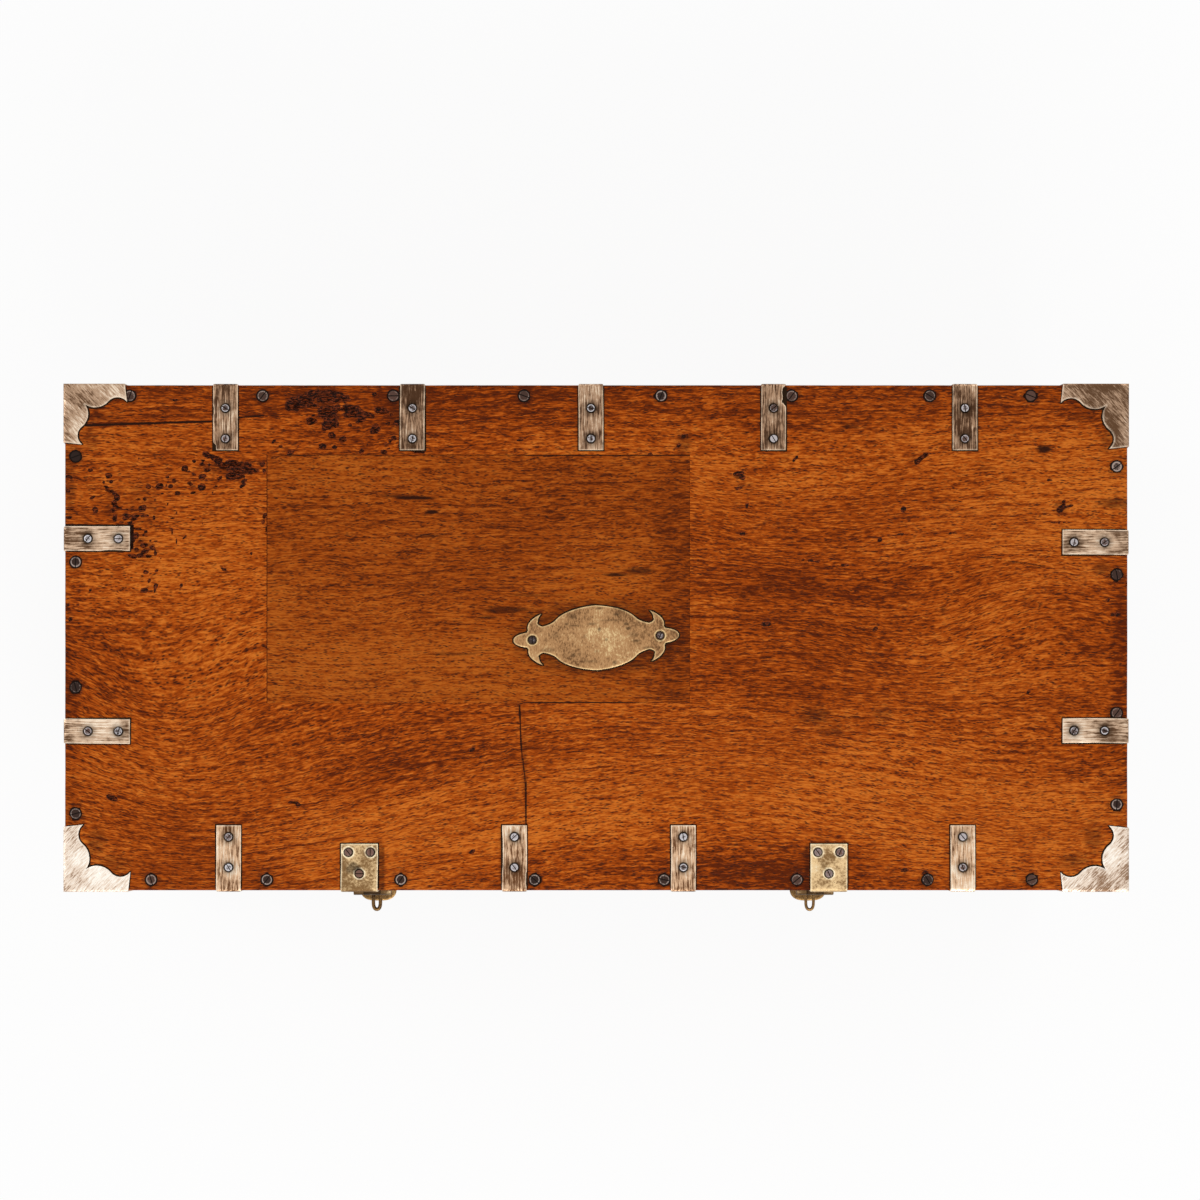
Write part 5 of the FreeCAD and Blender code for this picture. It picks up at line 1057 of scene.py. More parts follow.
def screw_seats(node):
    """Where each screw of a node sits and the way that it goes in, read from the node's own mesh."""
    mesh = frame["nodes"][node].data
    flat = np.empty(len(mesh.vertices) * 3)
    mesh.vertices.foreach_get("co", flat)
    places, index = np.unique(np.round(flat.reshape(-1, 3), 6), axis=0, return_inverse=True)
    parent = list(range(len(places)))

    def root(item):
        while parent[item] != item:
            parent[item] = parent[parent[item]]
            item = parent[item]
        return item

    for face in mesh.polygons:
        corners = [int(index[vertex]) for vertex in face.vertices]
        for other in corners[1:]:
            parent[root(other)] = root(corners[0])
    islands = {}
    for item in range(len(places)):
        islands.setdefault(root(item), []).append(item)
    seats = []
    for members in islands.values():
        cloud_of = places[members]
        axis = int(np.argmax(cloud_of.max(0) - cloud_of.min(0)))
        lengthwise = cloud_of[:, axis]
        tips = (lengthwise.min(), lengthwise.max())
        ends = [cloud_of[np.abs(lengthwise - edge) < 0.02 * MM] for edge in tips]
        tip, head = sorted(ends, key=len)
        seats.append((Vector(head.mean(0)), (Vector(tip.mean(0)) - Vector(head.mean(0))).normalized()))
    seats.sort(key=lambda seat: tuple(round(part, 4) for part in seat[0]))
    return seats


def slotted_screw(name, radius, slot_width, dome, collar=0.0):
    """A countersunk head with its top at the origin: eased round the rim, slotted and worn."""
    depth = radius * 0.62
    bpy.ops.mesh.primitive_cone_add(
        vertices=28, radius1=radius * 0.5, radius2=radius, depth=depth, location=(0, 0, -depth / 2)
    )
    screw = named(name)
    bpy.ops.object.mode_set(mode="EDIT")
    bpy.ops.mesh.select_mode(type="FACE")
    bpy.ops.mesh.select_all(action="DESELECT")
    bpy.ops.object.mode_set(mode="OBJECT")
    for face in screw.data.polygons:
        face.select = face.normal.z > 0.9
    bpy.ops.object.mode_set(mode="EDIT")
    for inset, lift in ((0.1, 0.35), (0.25, 0.4), (0.3, 0.25)):
        bpy.ops.mesh.inset(thickness=radius * inset)
        bpy.ops.transform.translate(value=(0, 0, dome * lift))
    bpy.ops.object.mode_set(mode="OBJECT")
    bpy.ops.mesh.primitive_cube_add(
        size=1, location=(0, 0, dome), scale=(radius * 2.4, slot_width, radius * 0.42 + dome * 2)
    )
    slot = named(name + "_slot")
    trim(screw, slot)
    # The collar is a dark ring on the wood round the head: old wax and a painted shadow in the gap round it
    if collar:
        bpy.ops.mesh.primitive_cylinder_add(
            vertices=40, radius=radius * collar, depth=0.5 * MM, location=(0, 0, -0.3 * MM)
        )
        shadow_and_grime = named(name + "_shadow_and_grime")
        ring = points_of(shadow_and_grime)
        uneven = 1 + 0.12 * rolling(ring[:, 0] * 420 + 7, ring[:, 1] * 420 + 3, 9)
        ring[:, 0] *= uneven
        ring[:, 1] *= uneven
        set_points(shadow_and_grime, ring)
        screw = join([screw, shadow_and_grime], name)
    points = points_of(screw)
    away = np.hypot(points[:, 0], points[:, 1]) / radius
    paint(screw, "rim", np.where(points[:, 2] > -0.03 * MM, soft_step(away, 0.6, 0.84), 0))
    # Painted shade and old grime: the sunken sides, the collar and the head's outer edge are painted dark
    paint(screw, "dirt_and_shade", np.where(points[:, 2] < -0.04 * MM, 1.0, 0.9 * soft_step(away, 0.92, 1.02)))
    smooth(screw, 40)
    return screw


def set_screws(node, name, pattern, material, slot, seed):
    """A screw in each seat of a node, each turned its own way."""
    chance = np.random.default_rng(seed)
    made = []
    for seat, into in screw_seats(node):
        screw = bpy.data.objects.new(name, pattern.data.copy())
        bpy.context.scene.collection.objects.link(screw)
        spin = chance.uniform(0, math.pi)
        c, s = math.cos(spin), math.sin(spin)
        spun = points_of(pattern) @ np.array(((c, s, 0), (-s, c, 0), (0, 0, 1)))
        turn = np.array(Vector((0, 0, 1)).rotation_difference(-into).to_matrix())
        set_points(screw, spun @ turn.T + np.array(seat))
        near = [row for row in WORN_SCREWS if math.hypot(seat.x - row[0] * MM, seat.y - row[1] * MM) < 6 * MM]
        rust, bright = near[0][2:] if near and into.z < -0.9 else (
            chance.uniform(0.0, 0.45), chance.uniform(0.1, 0.8)
        )
        count = len(spun)
        paint(screw, "rust", np.full(count, rust))
        paint(screw, "worn", np.full(count, bright))
        made.append(screw)
    whole = join(made, name)
    return fit(whole, material, node, slot)


# Sheet brass


def sheet_grid(name, low_x, high_x, low_y, high_y, cell):
    """A flat sheet of even cells at height 0."""
    columns = max(2, round((high_x - low_x) / cell))
    rows = max(2, round((high_y - low_y) / cell))
    place = ((low_x + high_x) / 2, (low_y + high_y) / 2, 0)
    bpy.ops.mesh.primitive_grid_add(x_subdivisions=columns, y_subdivisions=rows, size=1.0, location=place)
    bpy.context.active_object.scale = (high_x - low_x, high_y - low_y, 1)
    return named(name)


def thicken(sheet, thickness):
    """Gives a flat sheet its thickness, upwards."""
    finish_with(sheet, "SOLIDIFY", thickness=thickness, offset=1.0)


def prism(name, outline, low, high):
    """A tool with a flat outline, standing from low to high."""
    bpy.ops.mesh.primitive_circle_add(vertices=len(outline), radius=1.0, fill_type="NGON")
    tool = named(name)
    points = points_of(tool)
    order = np.rint((np.arctan2(points[:, 1], points[:, 0]) % math.tau) / math.tau * len(outline)).astype(int)
    points[:, :2] = np.array(outline)[order % len(outline)]
    points[:, 2] = low
    set_points(tool, points)
    with editing(tool):
        bpy.ops.mesh.extrude_region_move(TRANSFORM_OT_translate={"value": (0.0, 0.0, high - low)})
    return face_outwards(tool)


def box_of(outline):
    xs, ys = zip(*outline)
    return min(xs), max(xs), min(ys), max(ys)


def cut_sheet(name, box, outline, thickness, cell):
    """A sheet of even cells over a flat box, cut to an outline."""
    low_x, high_x, low_y, high_y = box
    sheet = sheet_grid(name, low_x - MM, high_x + MM, low_y - MM, high_y + MM, cell)
    thicken(sheet, thickness)
    trim(sheet, prism(name + "_outline", outline, -MM, thickness + MM), "INTERSECT")
    return sheet


def countersinks(places, thickness, head, sink):
    """A tool that sinks a plate for its screws."""
    tools = []
    slope = (sink - head) / thickness
    wide, narrow = sink + slope * thickness, head - slope * thickness
    for x, y in places:
        bpy.ops.mesh.primitive_cone_add(
            vertices=32, radius1=narrow, radius2=wide, depth=thickness * 3, location=(x, y, thickness / 2)
        )
        tools.append(named("countersink"))
    return join(tools, "countersinks")


def rubbed_rim(away, roll):
    """How bright a sheet's edge is rubbed, uneven along it."""
    return (1 - soft_step(away, 0.0, RIM_WIDTH)) * (0.75 + 0.25 * roll)


def rub_edges(sheet, outline, thickness, screws, seed, wear=0.0, ringed=False):
    """Wears the sheet's edges down, lets its face roll a little, and paints rim, and old grime with painted
    shade round the screws.
    """
    points = points_of(sheet)
    flat = points[:, :2]
    away = distance_to_outline(flat, outline)
    face = points[:, 2] > thickness * 0.75
    worn = np.clip(1 - away / RIM_WIDTH, 0, 1) ** 2
    roll = rolling(flat[:, 0] * 90, flat[:, 1] * 90, seed)
    points[:, 2] -= np.where(face, worn * RIM_DROP * (1 + 0.3 * roll) + 0.05 * MM * (1 + roll), 0)
    set_points(sheet, points)
    rim = rubbed_rim(away, roll)
    paint(sheet, "rim", rim)
    paint(sheet, "tone", wear + 0.45 * rolling(flat[:, 0] * 45 + seed, flat[:, 1] * 45, seed))
    if ringed:
        ring = np.abs(
            np.min([np.hypot(flat[:, 0] - x, flat[:, 1] - y) for x, y in screws], axis=0) - SMALL_SINK
        )
        paint(sheet, "rim", np.maximum(rim, 1 - soft_step(ring, 0.2 * MM, 1.3 * MM)))
    elif screws:
        # Old grime round the screws, and painted shade in their countersinks
        dirt_and_shade = near_places(points, screws, SMALL_SINK * 0.95, SMALL_SINK * 2.1)
        paint(
            sheet, "dirt_and_shade",
            np.maximum(dirt_and_shade * 0.62, near_places(points, screws, SMALL_SINK * 0.98, SMALL_SINK * 1.2))
        )


def spread(outline):
    """A flat outline moved outwards by the uneven width of the line of wax and painted shadow."""
    places = np.array(outline)
    ahead = np.roll(places, -1, axis=0) - places
    turn = np.sign(
        (places[:, 0] * np.roll(places[:, 1], -1) - places[:, 1] * np.roll(places[:, 0], -1)).sum()
    )
    out = np.stack((ahead[:, 1], -ahead[:, 0]), axis=1) * turn
    out /= np.maximum(np.linalg.norm(out, axis=1, keepdims=True), 0.001 * MM)
    both = out + np.roll(out, 1, axis=0)
    both /= np.maximum(np.linalg.norm(both, axis=1, keepdims=True), 0.3)
    width = SHADOW_AND_GRIME * (1 + 0.3 * rolling(places[:, :1] * 700, places[:, 1:] * 700, 2))
    grown = places + both * width
    return grown[distance_to_outline(grown, outline) > 0.9 * width[:, 0] * np.linalg.norm(both, axis=1)]


def shadow_and_grime_line(sheet, grown):
    """Old dark wax on the wood all round a sheet, out to this outline, also standing for a painted shadow
    along the sheet's edges.
    """
    shadow_and_grime = prism(sheet.name + "_shadow_and_grime", [tuple(place) for place in grown], SHADOW_AND_GRIME_FOOT, SHADOW_AND_GRIME_FACE)
    # Painted shadow and old wax: the whole line is painted dark
    paint(shadow_and_grime, "dirt_and_shade", np.full(len(shadow_and_grime.data.vertices), 1.9))
    return shadow_and_grime


def fold_length(thickness):
    """The length of the bend in the middle of a sheet that folds over the wood's edge."""
    return (WOOD_EASING + thickness / 2) * QUARTER


def fold_over(points, thickness):
    """Folds flat points whose Y runs outwards over the wood's edge at Y 0, and down it."""
    easing, arc = WOOD_EASING, fold_length(thickness)
    out, up = points[:, 1].copy(), points[:, 2].copy()
    turn = np.clip((out + easing) / arc, 0, 1) * QUARTER
    past = np.maximum(out + easing - arc, 0)
    reach = up + easing
    bent = out > -easing
    folded = points.copy()
    folded[:, 1] = np.where(bent, -easing + np.sin(turn) * reach, out)
    folded[:, 2] = np.where(bent, -easing + np.cos(turn) * reach - past, up)
    return folded


def place_on_side(points, side, middle):
    """Takes points with X across, Y outwards and Z above the lid's top to one side of the lid."""
    across, out, up = points.T
    if side == "back":
        placed = (middle - across, BACK + out, TOP + up)
    elif side == "front":
        placed = (middle + across, FRONT - out, TOP + up)
    elif side == "left":
        placed = (LEFT - out, middle - across, TOP + up)
    else:
        placed = (RIGHT + out, middle + across, TOP + up)
    return np.stack(placed, axis=1)


def rectangle(low_x, high_x, low_y, high_y):
    return [(low_x, low_y), (high_x, low_y), (high_x, high_y), (low_x, high_y)]


def bite(points, node, half):
    """Pushes in the long edges of a flat strap where its table has bites."""
    for sign, place, half_length, depth in BITES.get(node, ()):
        share = 1 - soft_step(np.abs(points[:, 1] / MM - place), half_length * 0.55, half_length)
        rough = 1 + 0.25 * rolling(points[:, 1] * 400, points[:, 1] * 0 + 2, 6)
        edge = soft_step(points[:, 0] * sign, half - 8 * MM, half)
        points[:, 0] -= sign * share * rough * edge * depth * MM


def folded_strap(node, half, leg, drop, thickness, screws, seed, ringed=False):
    """A flat sheet strap, long enough to lie on the lid's top and fold over one edge of it, still unfolded
    and without a place.
    """
    here = [(x, y) for x, y in screws if abs(x) < half and -leg < y < 0]
    reach = drop - WOOD_EASING + fold_length(thickness) - WOOD_EASING
    strap = sheet_grid(node + "_brass", -half, half, -leg, reach, STRAP_CELL)
    thicken(strap, thickness)
    trim(strap, countersinks(here, thickness, SMALL_HEAD + 0.1 * MM, SMALL_SINK))
    rub_edges(strap, rectangle(-half, half, -leg, reach), thickness, here, seed, WEAR.get(node, 0.0), ringed)
    points = points_of(strap)
    sag = 0.3 * MM * rolling(points[:, 1] * 30 + seed, points[:, 1] * 0, seed)
    points[:, 0] += np.where(points[:, 1] < 0, sag, 0)
    bite(points, node, half)
    set_points(strap, points)
    return strap


def set_on_side(strap, side, middle, thickness):
    """Folds a flat strap, puts it in its place and adds its line of wax and painted shadow."""
    points = points_of(strap)
    low, high = points.min(axis=0), points.max(axis=0)
    edge = rectangle(low[0], high[0], low[1], -SHADOW_AND_GRIME_END)
    grown = spread(edge)
    grown[:, 1] = np.minimum(grown[:, 1], -SHADOW_AND_GRIME_END)
    shadow_and_grime = shadow_and_grime_line(strap, grown)
    set_points(shadow_and_grime, place_on_side(points_of(shadow_and_grime), side, middle))
    set_points(strap, place_on_side(fold_over(points, thickness), side, middle))
    return face_outwards(join([strap, shadow_and_grime], strap.name))


def seat_on_side(seat, side, middle):
    """A place on the lid in the X and Y of a strap that lies flat."""
    places = {"back": (middle - seat.x, seat.y - BACK), "front": (seat.x - middle, FRONT - seat.y)}
    places.update({"left": (middle - seat.y, LEFT - seat.x), "right": (seat.y - middle, seat.x - RIGHT)})
    return places[side]


def lid_strap(node, side, screws, seed):
    """A brass strap folded over one edge of the lid."""
    low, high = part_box(node)
    across = 0 if side in ("front", "back") else 1
    middle, half = (low[across] + high[across]) / 2, (high[across] - low[across]) / 2
    legs = {"back": BACK - low.y, "front": high.y - FRONT, "left": high.x - LEFT, "right": RIGHT - low.x}
    here = [seat_on_side(seat, side, middle) for seat in screws]
    strap = folded_strap(node, half, legs[side], TOP - low.z, SHEET, here, seed)
    strap = set_on_side(strap, side, middle, SHEET)
    smooth(strap, 38)
    metal = {"back": back_brass, "front": front_brass}.get(side, end_brass)
    return fit(strap, metal, node, "strap_brass")


# Hasps, eyes and bails


def knuckle(name, low_x, high_x, centre):
    """A rolled knuckle round the pin, with its ends eased."""
    place = ((low_x + high_x) / 2, centre.y, centre.z)
    bpy.ops.mesh.primitive_cylinder_add(
        vertices=40, radius=KNUCKLE, depth=high_x - low_x, location=place, rotation=(0, QUARTER, 0)
    )
    tube = named(name)
    ease_edges(tube, 0.5 * MM, 60)
    return tube


def darken(piece, strength, wear):
    """Paints a piece with old dirt all over, heavier where the noise is high."""
    points = points_of(piece)
    roll = rolling(points[:, 0] * 130 + 5, (points[:, 1] + points[:, 2]) * 130, 44)
    paint(piece, "dirt_and_shade", strength * (1 + 0.25 * roll))
    paint(piece, "tone", wear + 0.3 * roll)


def hasp_plate(side_name, screws):
    """The hasp's plate: on the top, over the edge and down to the outer knuckles."""
    node = f"{side_name}_hasp_plate"
    low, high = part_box(node)
    pin_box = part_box("hasp_pins")
    toward = 1 if side_name == "left" else -1
    middle = (low.x + HASP_WIDTH / 2) if toward > 0 else (high.x - HASP_WIDTH / 2)
    barrel = (high.x - HALF_BARREL) if toward > 0 else (low.x + HALF_BARREL)
    pin = Vector((barrel, (pin_box[0].y + pin_box[1].y) / 2, (pin_box[0].z + pin_box[1].z) / 2))
    here = [seat_on_side(seat, "front", middle) for seat in screws]
    leg, drop = high.y - FRONT, TOP - pin.z
    plate = folded_strap(node, HASP_WIDTH / 2, leg, drop, HASP_SHEET, here, 61 + toward, ringed=True)
    notch_top = (drop - KNUCKLE - TURNING_GAP) + fold_length(HASP_SHEET) - 2 * WOOD_EASING
    notch = rectangle(
        barrel - middle - HALF_KNUCKLE, barrel - middle + HALF_KNUCKLE, notch_top, notch_top + 20 * MM
    )
    trim(plate, prism("notch", notch, -5 * MM, 5 * MM))
    points = points_of(plate)
    stain = [(dx * MM, dy * MM) for dx, dy in ((-6.0, -25.0), (-3.0, -22.0), (-9.0, -22.0))]
    dirt_and_shade = near_places(points, stain, 2 * MM, 7 * MM) * (1.1 if toward > 0 else 0.2)
    paint(plate, "dirt_and_shade", np.maximum(dirt_and_shade, 0.5 * soft_step(points[:, 1], 0.5 * MM, 4 * MM)))
    plate = set_on_side(plate, "front", middle, HASP_SHEET)
    tubes = []
    for sign in (-1, 1):
        ends = sorted((barrel + sign * HALF_KNUCKLE, barrel + sign * HALF_BARREL))
        tubes.append(knuckle(node + "_knuckle", *ends, pin))
        darken(tubes[-1], 0.7, -0.8)
    plate = join([plate, *tubes], node + "_brass")
    smooth(plate, 38)
    return fit(plate, hasp_brass, node, "hasp_brass"), pin


def tongue_outline():
    """Half widths down the tongue, with its cheeks, and the rounded end of its lip."""
    neck, half = HALF_KNUCKLE - TURNING_GAP, HALF_BARREL
    cheek = bowed(
        (("corner", half, TONGUE_SHOULDER), ("bow", half * 0.6, 11.5 * MM), ("corner", neck, KNUCKLE)), 10
    )
    end = TONGUE_LENGTH - LIP_BEND + (LIP_BEND - BLADE / 2) * QUARTER + LIP_REACH - TONGUE_STANDOFF - LIP_BEND
    turns = np.linspace(0, QUARTER, 12)[:-1]
    lip = [(half * math.cos(a) ** 0.62, end - 12 * MM + 12 * MM * math.sin(a)) for a in turns]
    right = lip[::-1] + cheek + [(neck, 0.0)]
    return [(0.0, end)] + right + [(-x, y) for x, y in reversed(right)]


def hasp_tongue(side_name, pin, eye_z):
    """The tongue: a middle knuckle, a shouldered blade with a slot, and a lip to lift it by."""
    node = f"{side_name}_hasp_tongue"
    outline = tongue_outline()
    blade = cut_sheet(node + "_brass", box_of(outline), outline, BLADE, PLATE_CELL)
    slot_at = pin.z - eye_z
    flat_x, flat_y = SLOT_HALF_WIDTH - SLOT_ROUND, SLOT_HALF_HEIGHT - SLOT_ROUND
    turns = np.linspace(0, QUARTER, 6)
    corner = [(flat_x + SLOT_ROUND * math.cos(a), flat_y + SLOT_ROUND * math.sin(a)) for a in turns]
    upper = corner + [(-x, y) for x, y in reversed(corner)]
    slot = [(x, slot_at + y) for x, y in upper] + [(-x, slot_at - y) for x, y in upper]
    trim(blade, prism("tongue_slot", slot, -MM, BLADE + MM))
    points = points_of(blade)
    flat = points[:, :2]
    away = np.minimum(distance_to_outline(flat, outline), distance_to_outline(flat, slot))
    front_face = points[:, 2] > BLADE * 0.75
    points[:, 2] -= np.where(front_face, np.clip(1 - away / (1.2 * MM), 0, 1) ** 2 * 0.6 * MM, 0)
    paint(blade, "rim", 0.5 * (1 - soft_step(away, 0.0, RIM_WIDTH)))
    down, thick = points[:, 1], points[:, 2]
    start = TONGUE_LENGTH - LIP_BEND
    arc = (LIP_BEND - BLADE / 2) * QUARTER
    turn = np.clip((down - start) / arc, 0, 1) * QUARTER
    past = np.maximum(down - start - arc, 0)
    radius = LIP_BEND - thick
    centre_out, centre_z = TONGUE_STANDOFF + LIP_BEND, pin.z - start
    out = np.where(down < start, TONGUE_STANDOFF + thick, centre_out - radius * np.cos(turn) + past)
    up = np.where(down < start, pin.z - down, centre_z - radius * np.sin(turn))
    set_points(blade, np.stack((pin.x + points[:, 0], FRONT - out, up), axis=1))
    darken(blade, 0.12, 0.1)
    half = HALF_KNUCKLE - TURNING_GAP
    tube = knuckle(node + "_knuckle", pin.x - half, pin.x + half, pin)
    darken(tube, 0.55, -0.4)
    tongue = face_outwards(join([blade, tube], node + "_brass"))
    smooth(tongue, 38)
    return fit(tongue, eye_brass, node, "hasp_brass")


def wire_eye(side_name, radius):
    """A bent wire eye, driven into the front board through its plate."""
    low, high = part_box(f"{side_name}_eye")
    left, right, nose, z = low.x + radius, high.x - radius, low.y + radius, (low.z + high.z) / 2
    ys = (high.y, high.y - 20 * MM, FRONT - 16 * MM, nose)
    points = [(left, y, z) for y in ys] + [(right, y, z) for y in reversed(ys)]
    return bent_wire(f"{side_name}_eye_wire", points, radius, eye_brass, f"{side_name}_eye", "hasp_brass")


def swinging_bail(side_name):
    """The handle's bail: thick at the grip and slimmer up its arms, with its two pivots."""
    node = f"{side_name}_bail"
    low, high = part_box(node)
    radius = (high.x - low.x) / 2
    x, bottom, top = (low.x + high.x) / 2, low.z + radius, high.z
    plate_low, plate_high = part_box(f"{side_name}_handle_plate")
    pivot_z = (plate_low.z + plate_high.z) / 2
    reach = radius + BAIL_PIVOT_REACH
    left, right = low.y + reach, high.y - reach
    arm = [
        (x, left, top - 0.5 * MM), (x, left, pivot_z - 8 * MM), (x, left, bottom + 22 * MM), (x, left, bottom)
    ]
    grip = [(x, left + 22 * MM, bottom), (x, (left + right) / 2, bottom), (x, right - 22 * MM, bottom)]
    points = arm + grip + [(x, right + left - y, z) for x, y, z in reversed(arm)]
    girths = [0.86, 0.84, 0.84, 0.9, 0.98, 1.0, 0.98, 0.9, 0.84, 0.84, 0.86]
    bail = bent_wire(node + "_brass", points, radius, handle_brass, node, "handle_brass", girths=girths)
    pins = []
    for y, sign in ((left, -1), (right, 1)):
        middle = (x, y + sign * reach / 2, pivot_z)
        bpy.ops.mesh.primitive_cylinder_add(
            vertices=28, radius=BAIL_PIVOT, depth=reach, location=middle, rotation=(QUARTER, 0, 0)
        )
        pins.append(named(node + "_pivot"))
        ease_edges(pins[-1], 0.5 * MM, 60)
    bail = join([bail, *pins], node + "_brass")
    smooth(bail, 50)
    return fit(bail, handle_brass, node, "handle_brass")


def lid_centre_plate(screws):
    """The pointed plate with curled horns in the middle of the lid."""
    quarter = bowed(CENTRE_PLATE_QUARTER + (("corner", 1.0, 0.0),))
    half_x, half_y = PLATE_LENGTH / 2, PLATE_HEIGHT / 2
    first = [(x * half_x, y * half_y) for x, y in quarter]
    outline = first + [(x, -y) for x, y in reversed(first[:-1])]
    outline += [(-x, -y) for x, y in first[1:]] + [(-x, y) for x, y in reversed(first[1:-1])]
    box = (-half_x, half_x, -half_y, half_y)
    plate = cut_sheet("lid_centre_plate_brass", box, outline, SHEET, FINE_CELL)
    turn = np.array(
        ((math.cos(PLATE_TURN), math.sin(PLATE_TURN)), (-math.sin(PLATE_TURN), math.cos(PLATE_TURN)))
    )
    near = [seat for seat in screws if abs(seat.x) < half_x and abs(seat.y - MIDDLE_Y) < half_y]
    here = [tuple(np.array((seat.x, seat.y - MIDDLE_Y)) @ turn.T) for seat in near]
    trim(plate, countersinks(here, SHEET, SMALL_HEAD + 0.1 * MM, SMALL_SINK))
    rub_edges(plate, outline, SHEET, here, 17, ringed=True)
    points = points_of(plate)
    dents = marked(points, PLATE_DENTS) * (points[:, 2] > 0.75 * SHEET)
    points[:, 2] -= dents * 0.25 * MM
    set_points(plate, points)
    paint(plate, "dirt_and_shade", dents)
    plate = join([plate, shadow_and_grime_line(plate, spread(outline))], plate.name)
    points = points_of(plate)
    points[:, :2] = points[:, :2] @ turn
    points += np.array((0, MIDDLE_Y, TOP))
    set_points(plate, points)
    smooth(plate, 38)
    return fit(plate, plate_brass, "lid_centre_plate", "strap_brass")


def corner_flange(name, sign_x, sign_y):
    """A shaped flange in the plane, its corner at 0,0 and its legs running inwards."""
    leg = [("corner", 0.965, 0.0)] + list(CORNER_LEG)
    first = bowed(leg)
    second = [(y, x) for x, y in reversed(first[:-1])]
    lap = SHEET / CORNER_REACH
    shares = [(-lap, -lap), (0.965, -lap)] + first + second + [(-lap, 0.965)]
    longer_x, longer_y = CORNER_STRETCH[name]
    shares = [(x * longer_x if x > 0 else x, y * longer_y if y > 0 else y) for x, y in shares]
    return [(-sign_x * x * CORNER_REACH, -sign_y * y * CORNER_REACH) for x, y in shares]


def lid_corner(side_name, end_name):
    """One corner bracket: a shaped flange on the top and one down each face, worn round."""
    node = f"lid_corner_{side_name}_{end_name}"
    sign_x, sign_y = (1 if end_name == "right" else -1), (1 if side_name == "back" else -1)
    outline = corner_flange(node, sign_x, sign_y)
    edges = (RIGHT * sign_x, BACK if sign_y > 0 else FRONT)
    flange = cut_sheet(node + "_brass", box_of(outline), outline, SHEET, PLATE_CELL)
    points = points_of(flange)
    flat = points[:, :2].copy()
    inner = outline[2:-1]
    away = np.min([distance_to_line(flat, a, b) for a, b in zip(inner, inner[1:])], axis=0)
    outer = np.minimum(np.abs(flat[:, 0] - sign_x * SHEET), np.abs(flat[:, 1] - sign_y * SHEET))
    face = points[:, 2] > SHEET * 0.75
    roll = rolling(flat[:, 0] * 80, flat[:, 1] * 80, 40 + sign_x + 3 * sign_y)
    points[:, 2] -= np.where(
        face, np.clip(1 - away / RIM_WIDTH, 0, 1) ** 2 * RIM_DROP + 0.06 * MM * (1 + roll), 0
    )
    points[:, 2] -= np.where(face, np.clip(1 - outer / (2.2 * MM), 0, 1) ** 2 * 0.9 * MM, 0)
    paint(flange, "rim", rubbed_rim(away, roll))
    wear = WEAR.get(node, 0.0)
    paint(flange, "tone", wear + 0.5 * rolling(flat[:, 0] * 60, flat[:, 1] * 60, 30 + sign_x))
    set_points(flange, points)
    signs = np.array((sign_x, sign_y))
    shadow_and_grime = shadow_and_grime_line(flange, np.minimum(spread(outline) * signs, -SHADOW_AND_GRIME_END) * signs)
    flange = join([flange, shadow_and_grime], flange.name)
    points = points_of(flange)
    points += np.array((*edges, TOP))
    set_points(flange, points)
    sides = node_copy(node, node + "_sides", 0.5 * MM)
    points = points_of(sides)
    for axis, edge, sign in ((0, edges[0], sign_x), (1, edges[1], sign_y)):
        inward = (edge - points[:, axis]) * sign
        points[:, axis] = edge - sign * np.where(inward > 0, inward * CORNER_STRETCH[node][axis], inward)
    set_points(sides, points)
    paint(sides, "tone", np.full(len(sides.data.vertices), wear))
    with editing(sides):
        bpy.ops.mesh.bisect(
            plane_co=(0, 0, TOP - HAIR), plane_no=(0, 0, 1), clear_outer=True, use_fill=True
        )
    bracket = join([flange, sides], node + "_brass")
    smooth(bracket, 38)
    metal = corner_brass if sign_y > 0 else front_corner_brass
    return fit(bracket, metal, node, "strap_brass")


# Pieces that keep their node's form, with eased edges


def node_copy(node, name, easing, joints=()):
    """A copy of a node's mesh with its edges eased, and more so where it meets others at these heights."""
    piece = bpy.data.objects.new(name, frame["nodes"][node].data.copy())
    piece.data.name = name
    bpy.context.scene.collection.objects.link(piece)
    with editing(piece):
        bpy.ops.mesh.customdata_custom_splitnormals_clear()
        bpy.ops.mesh.remove_doubles(threshold=0.00001)
        bpy.ops.mesh.dissolve_limited(angle_limit=math.radians(0.5))
    if joints:
        places = points_of(piece)
        outer = (np.abs(np.abs(places[:, 0]) - RIGHT) < HAIR) | (np.abs(places[:, 1] - FRONT) < HAIR)
        outer |= np.abs(places[:, 1] - BACK) < HAIR
        at_joint = np.min([np.abs(places[:, 2] - joint) for joint in joints], axis=0) < HAIR
        chosen = outer & at_joint
        weights = [float(chosen[edge.vertices[0]] and chosen[edge.vertices[1]]) for edge in piece.data.edges]
        piece.data.attributes.new("bevel_weight_edge", "FLOAT", "EDGE").data.foreach_set("value", weights)
        finish_with(piece, "BEVEL", width=JOINT_EASING, segments=4, limit_method="WEIGHT", profile=0.5)
        paint(piece, "groove", near_joint(points_of(piece), joints))
    if easing:
        ease_edges(piece, easing, 40)
    return piece


def near_joint(points, joints):
    """From 1 at the deepest line of an eased joint to 0 on the faces beside it."""
    away = np.min([np.abs(points[:, 2] - joint) for joint in joints], axis=0)
    inside = (away > 0.02 * MM) & (away < JOINT_EASING * 0.98)
    return np.where(inside, np.clip(1.5 - away / (JOINT_EASING * 0.45), 0, 1), 0)


def eased(node, material, slot, easing, joints=()):
    piece = node_copy(node, f"{node}_eased", easing, joints)
    smooth(piece)
    return fit(piece, material, node, slot)


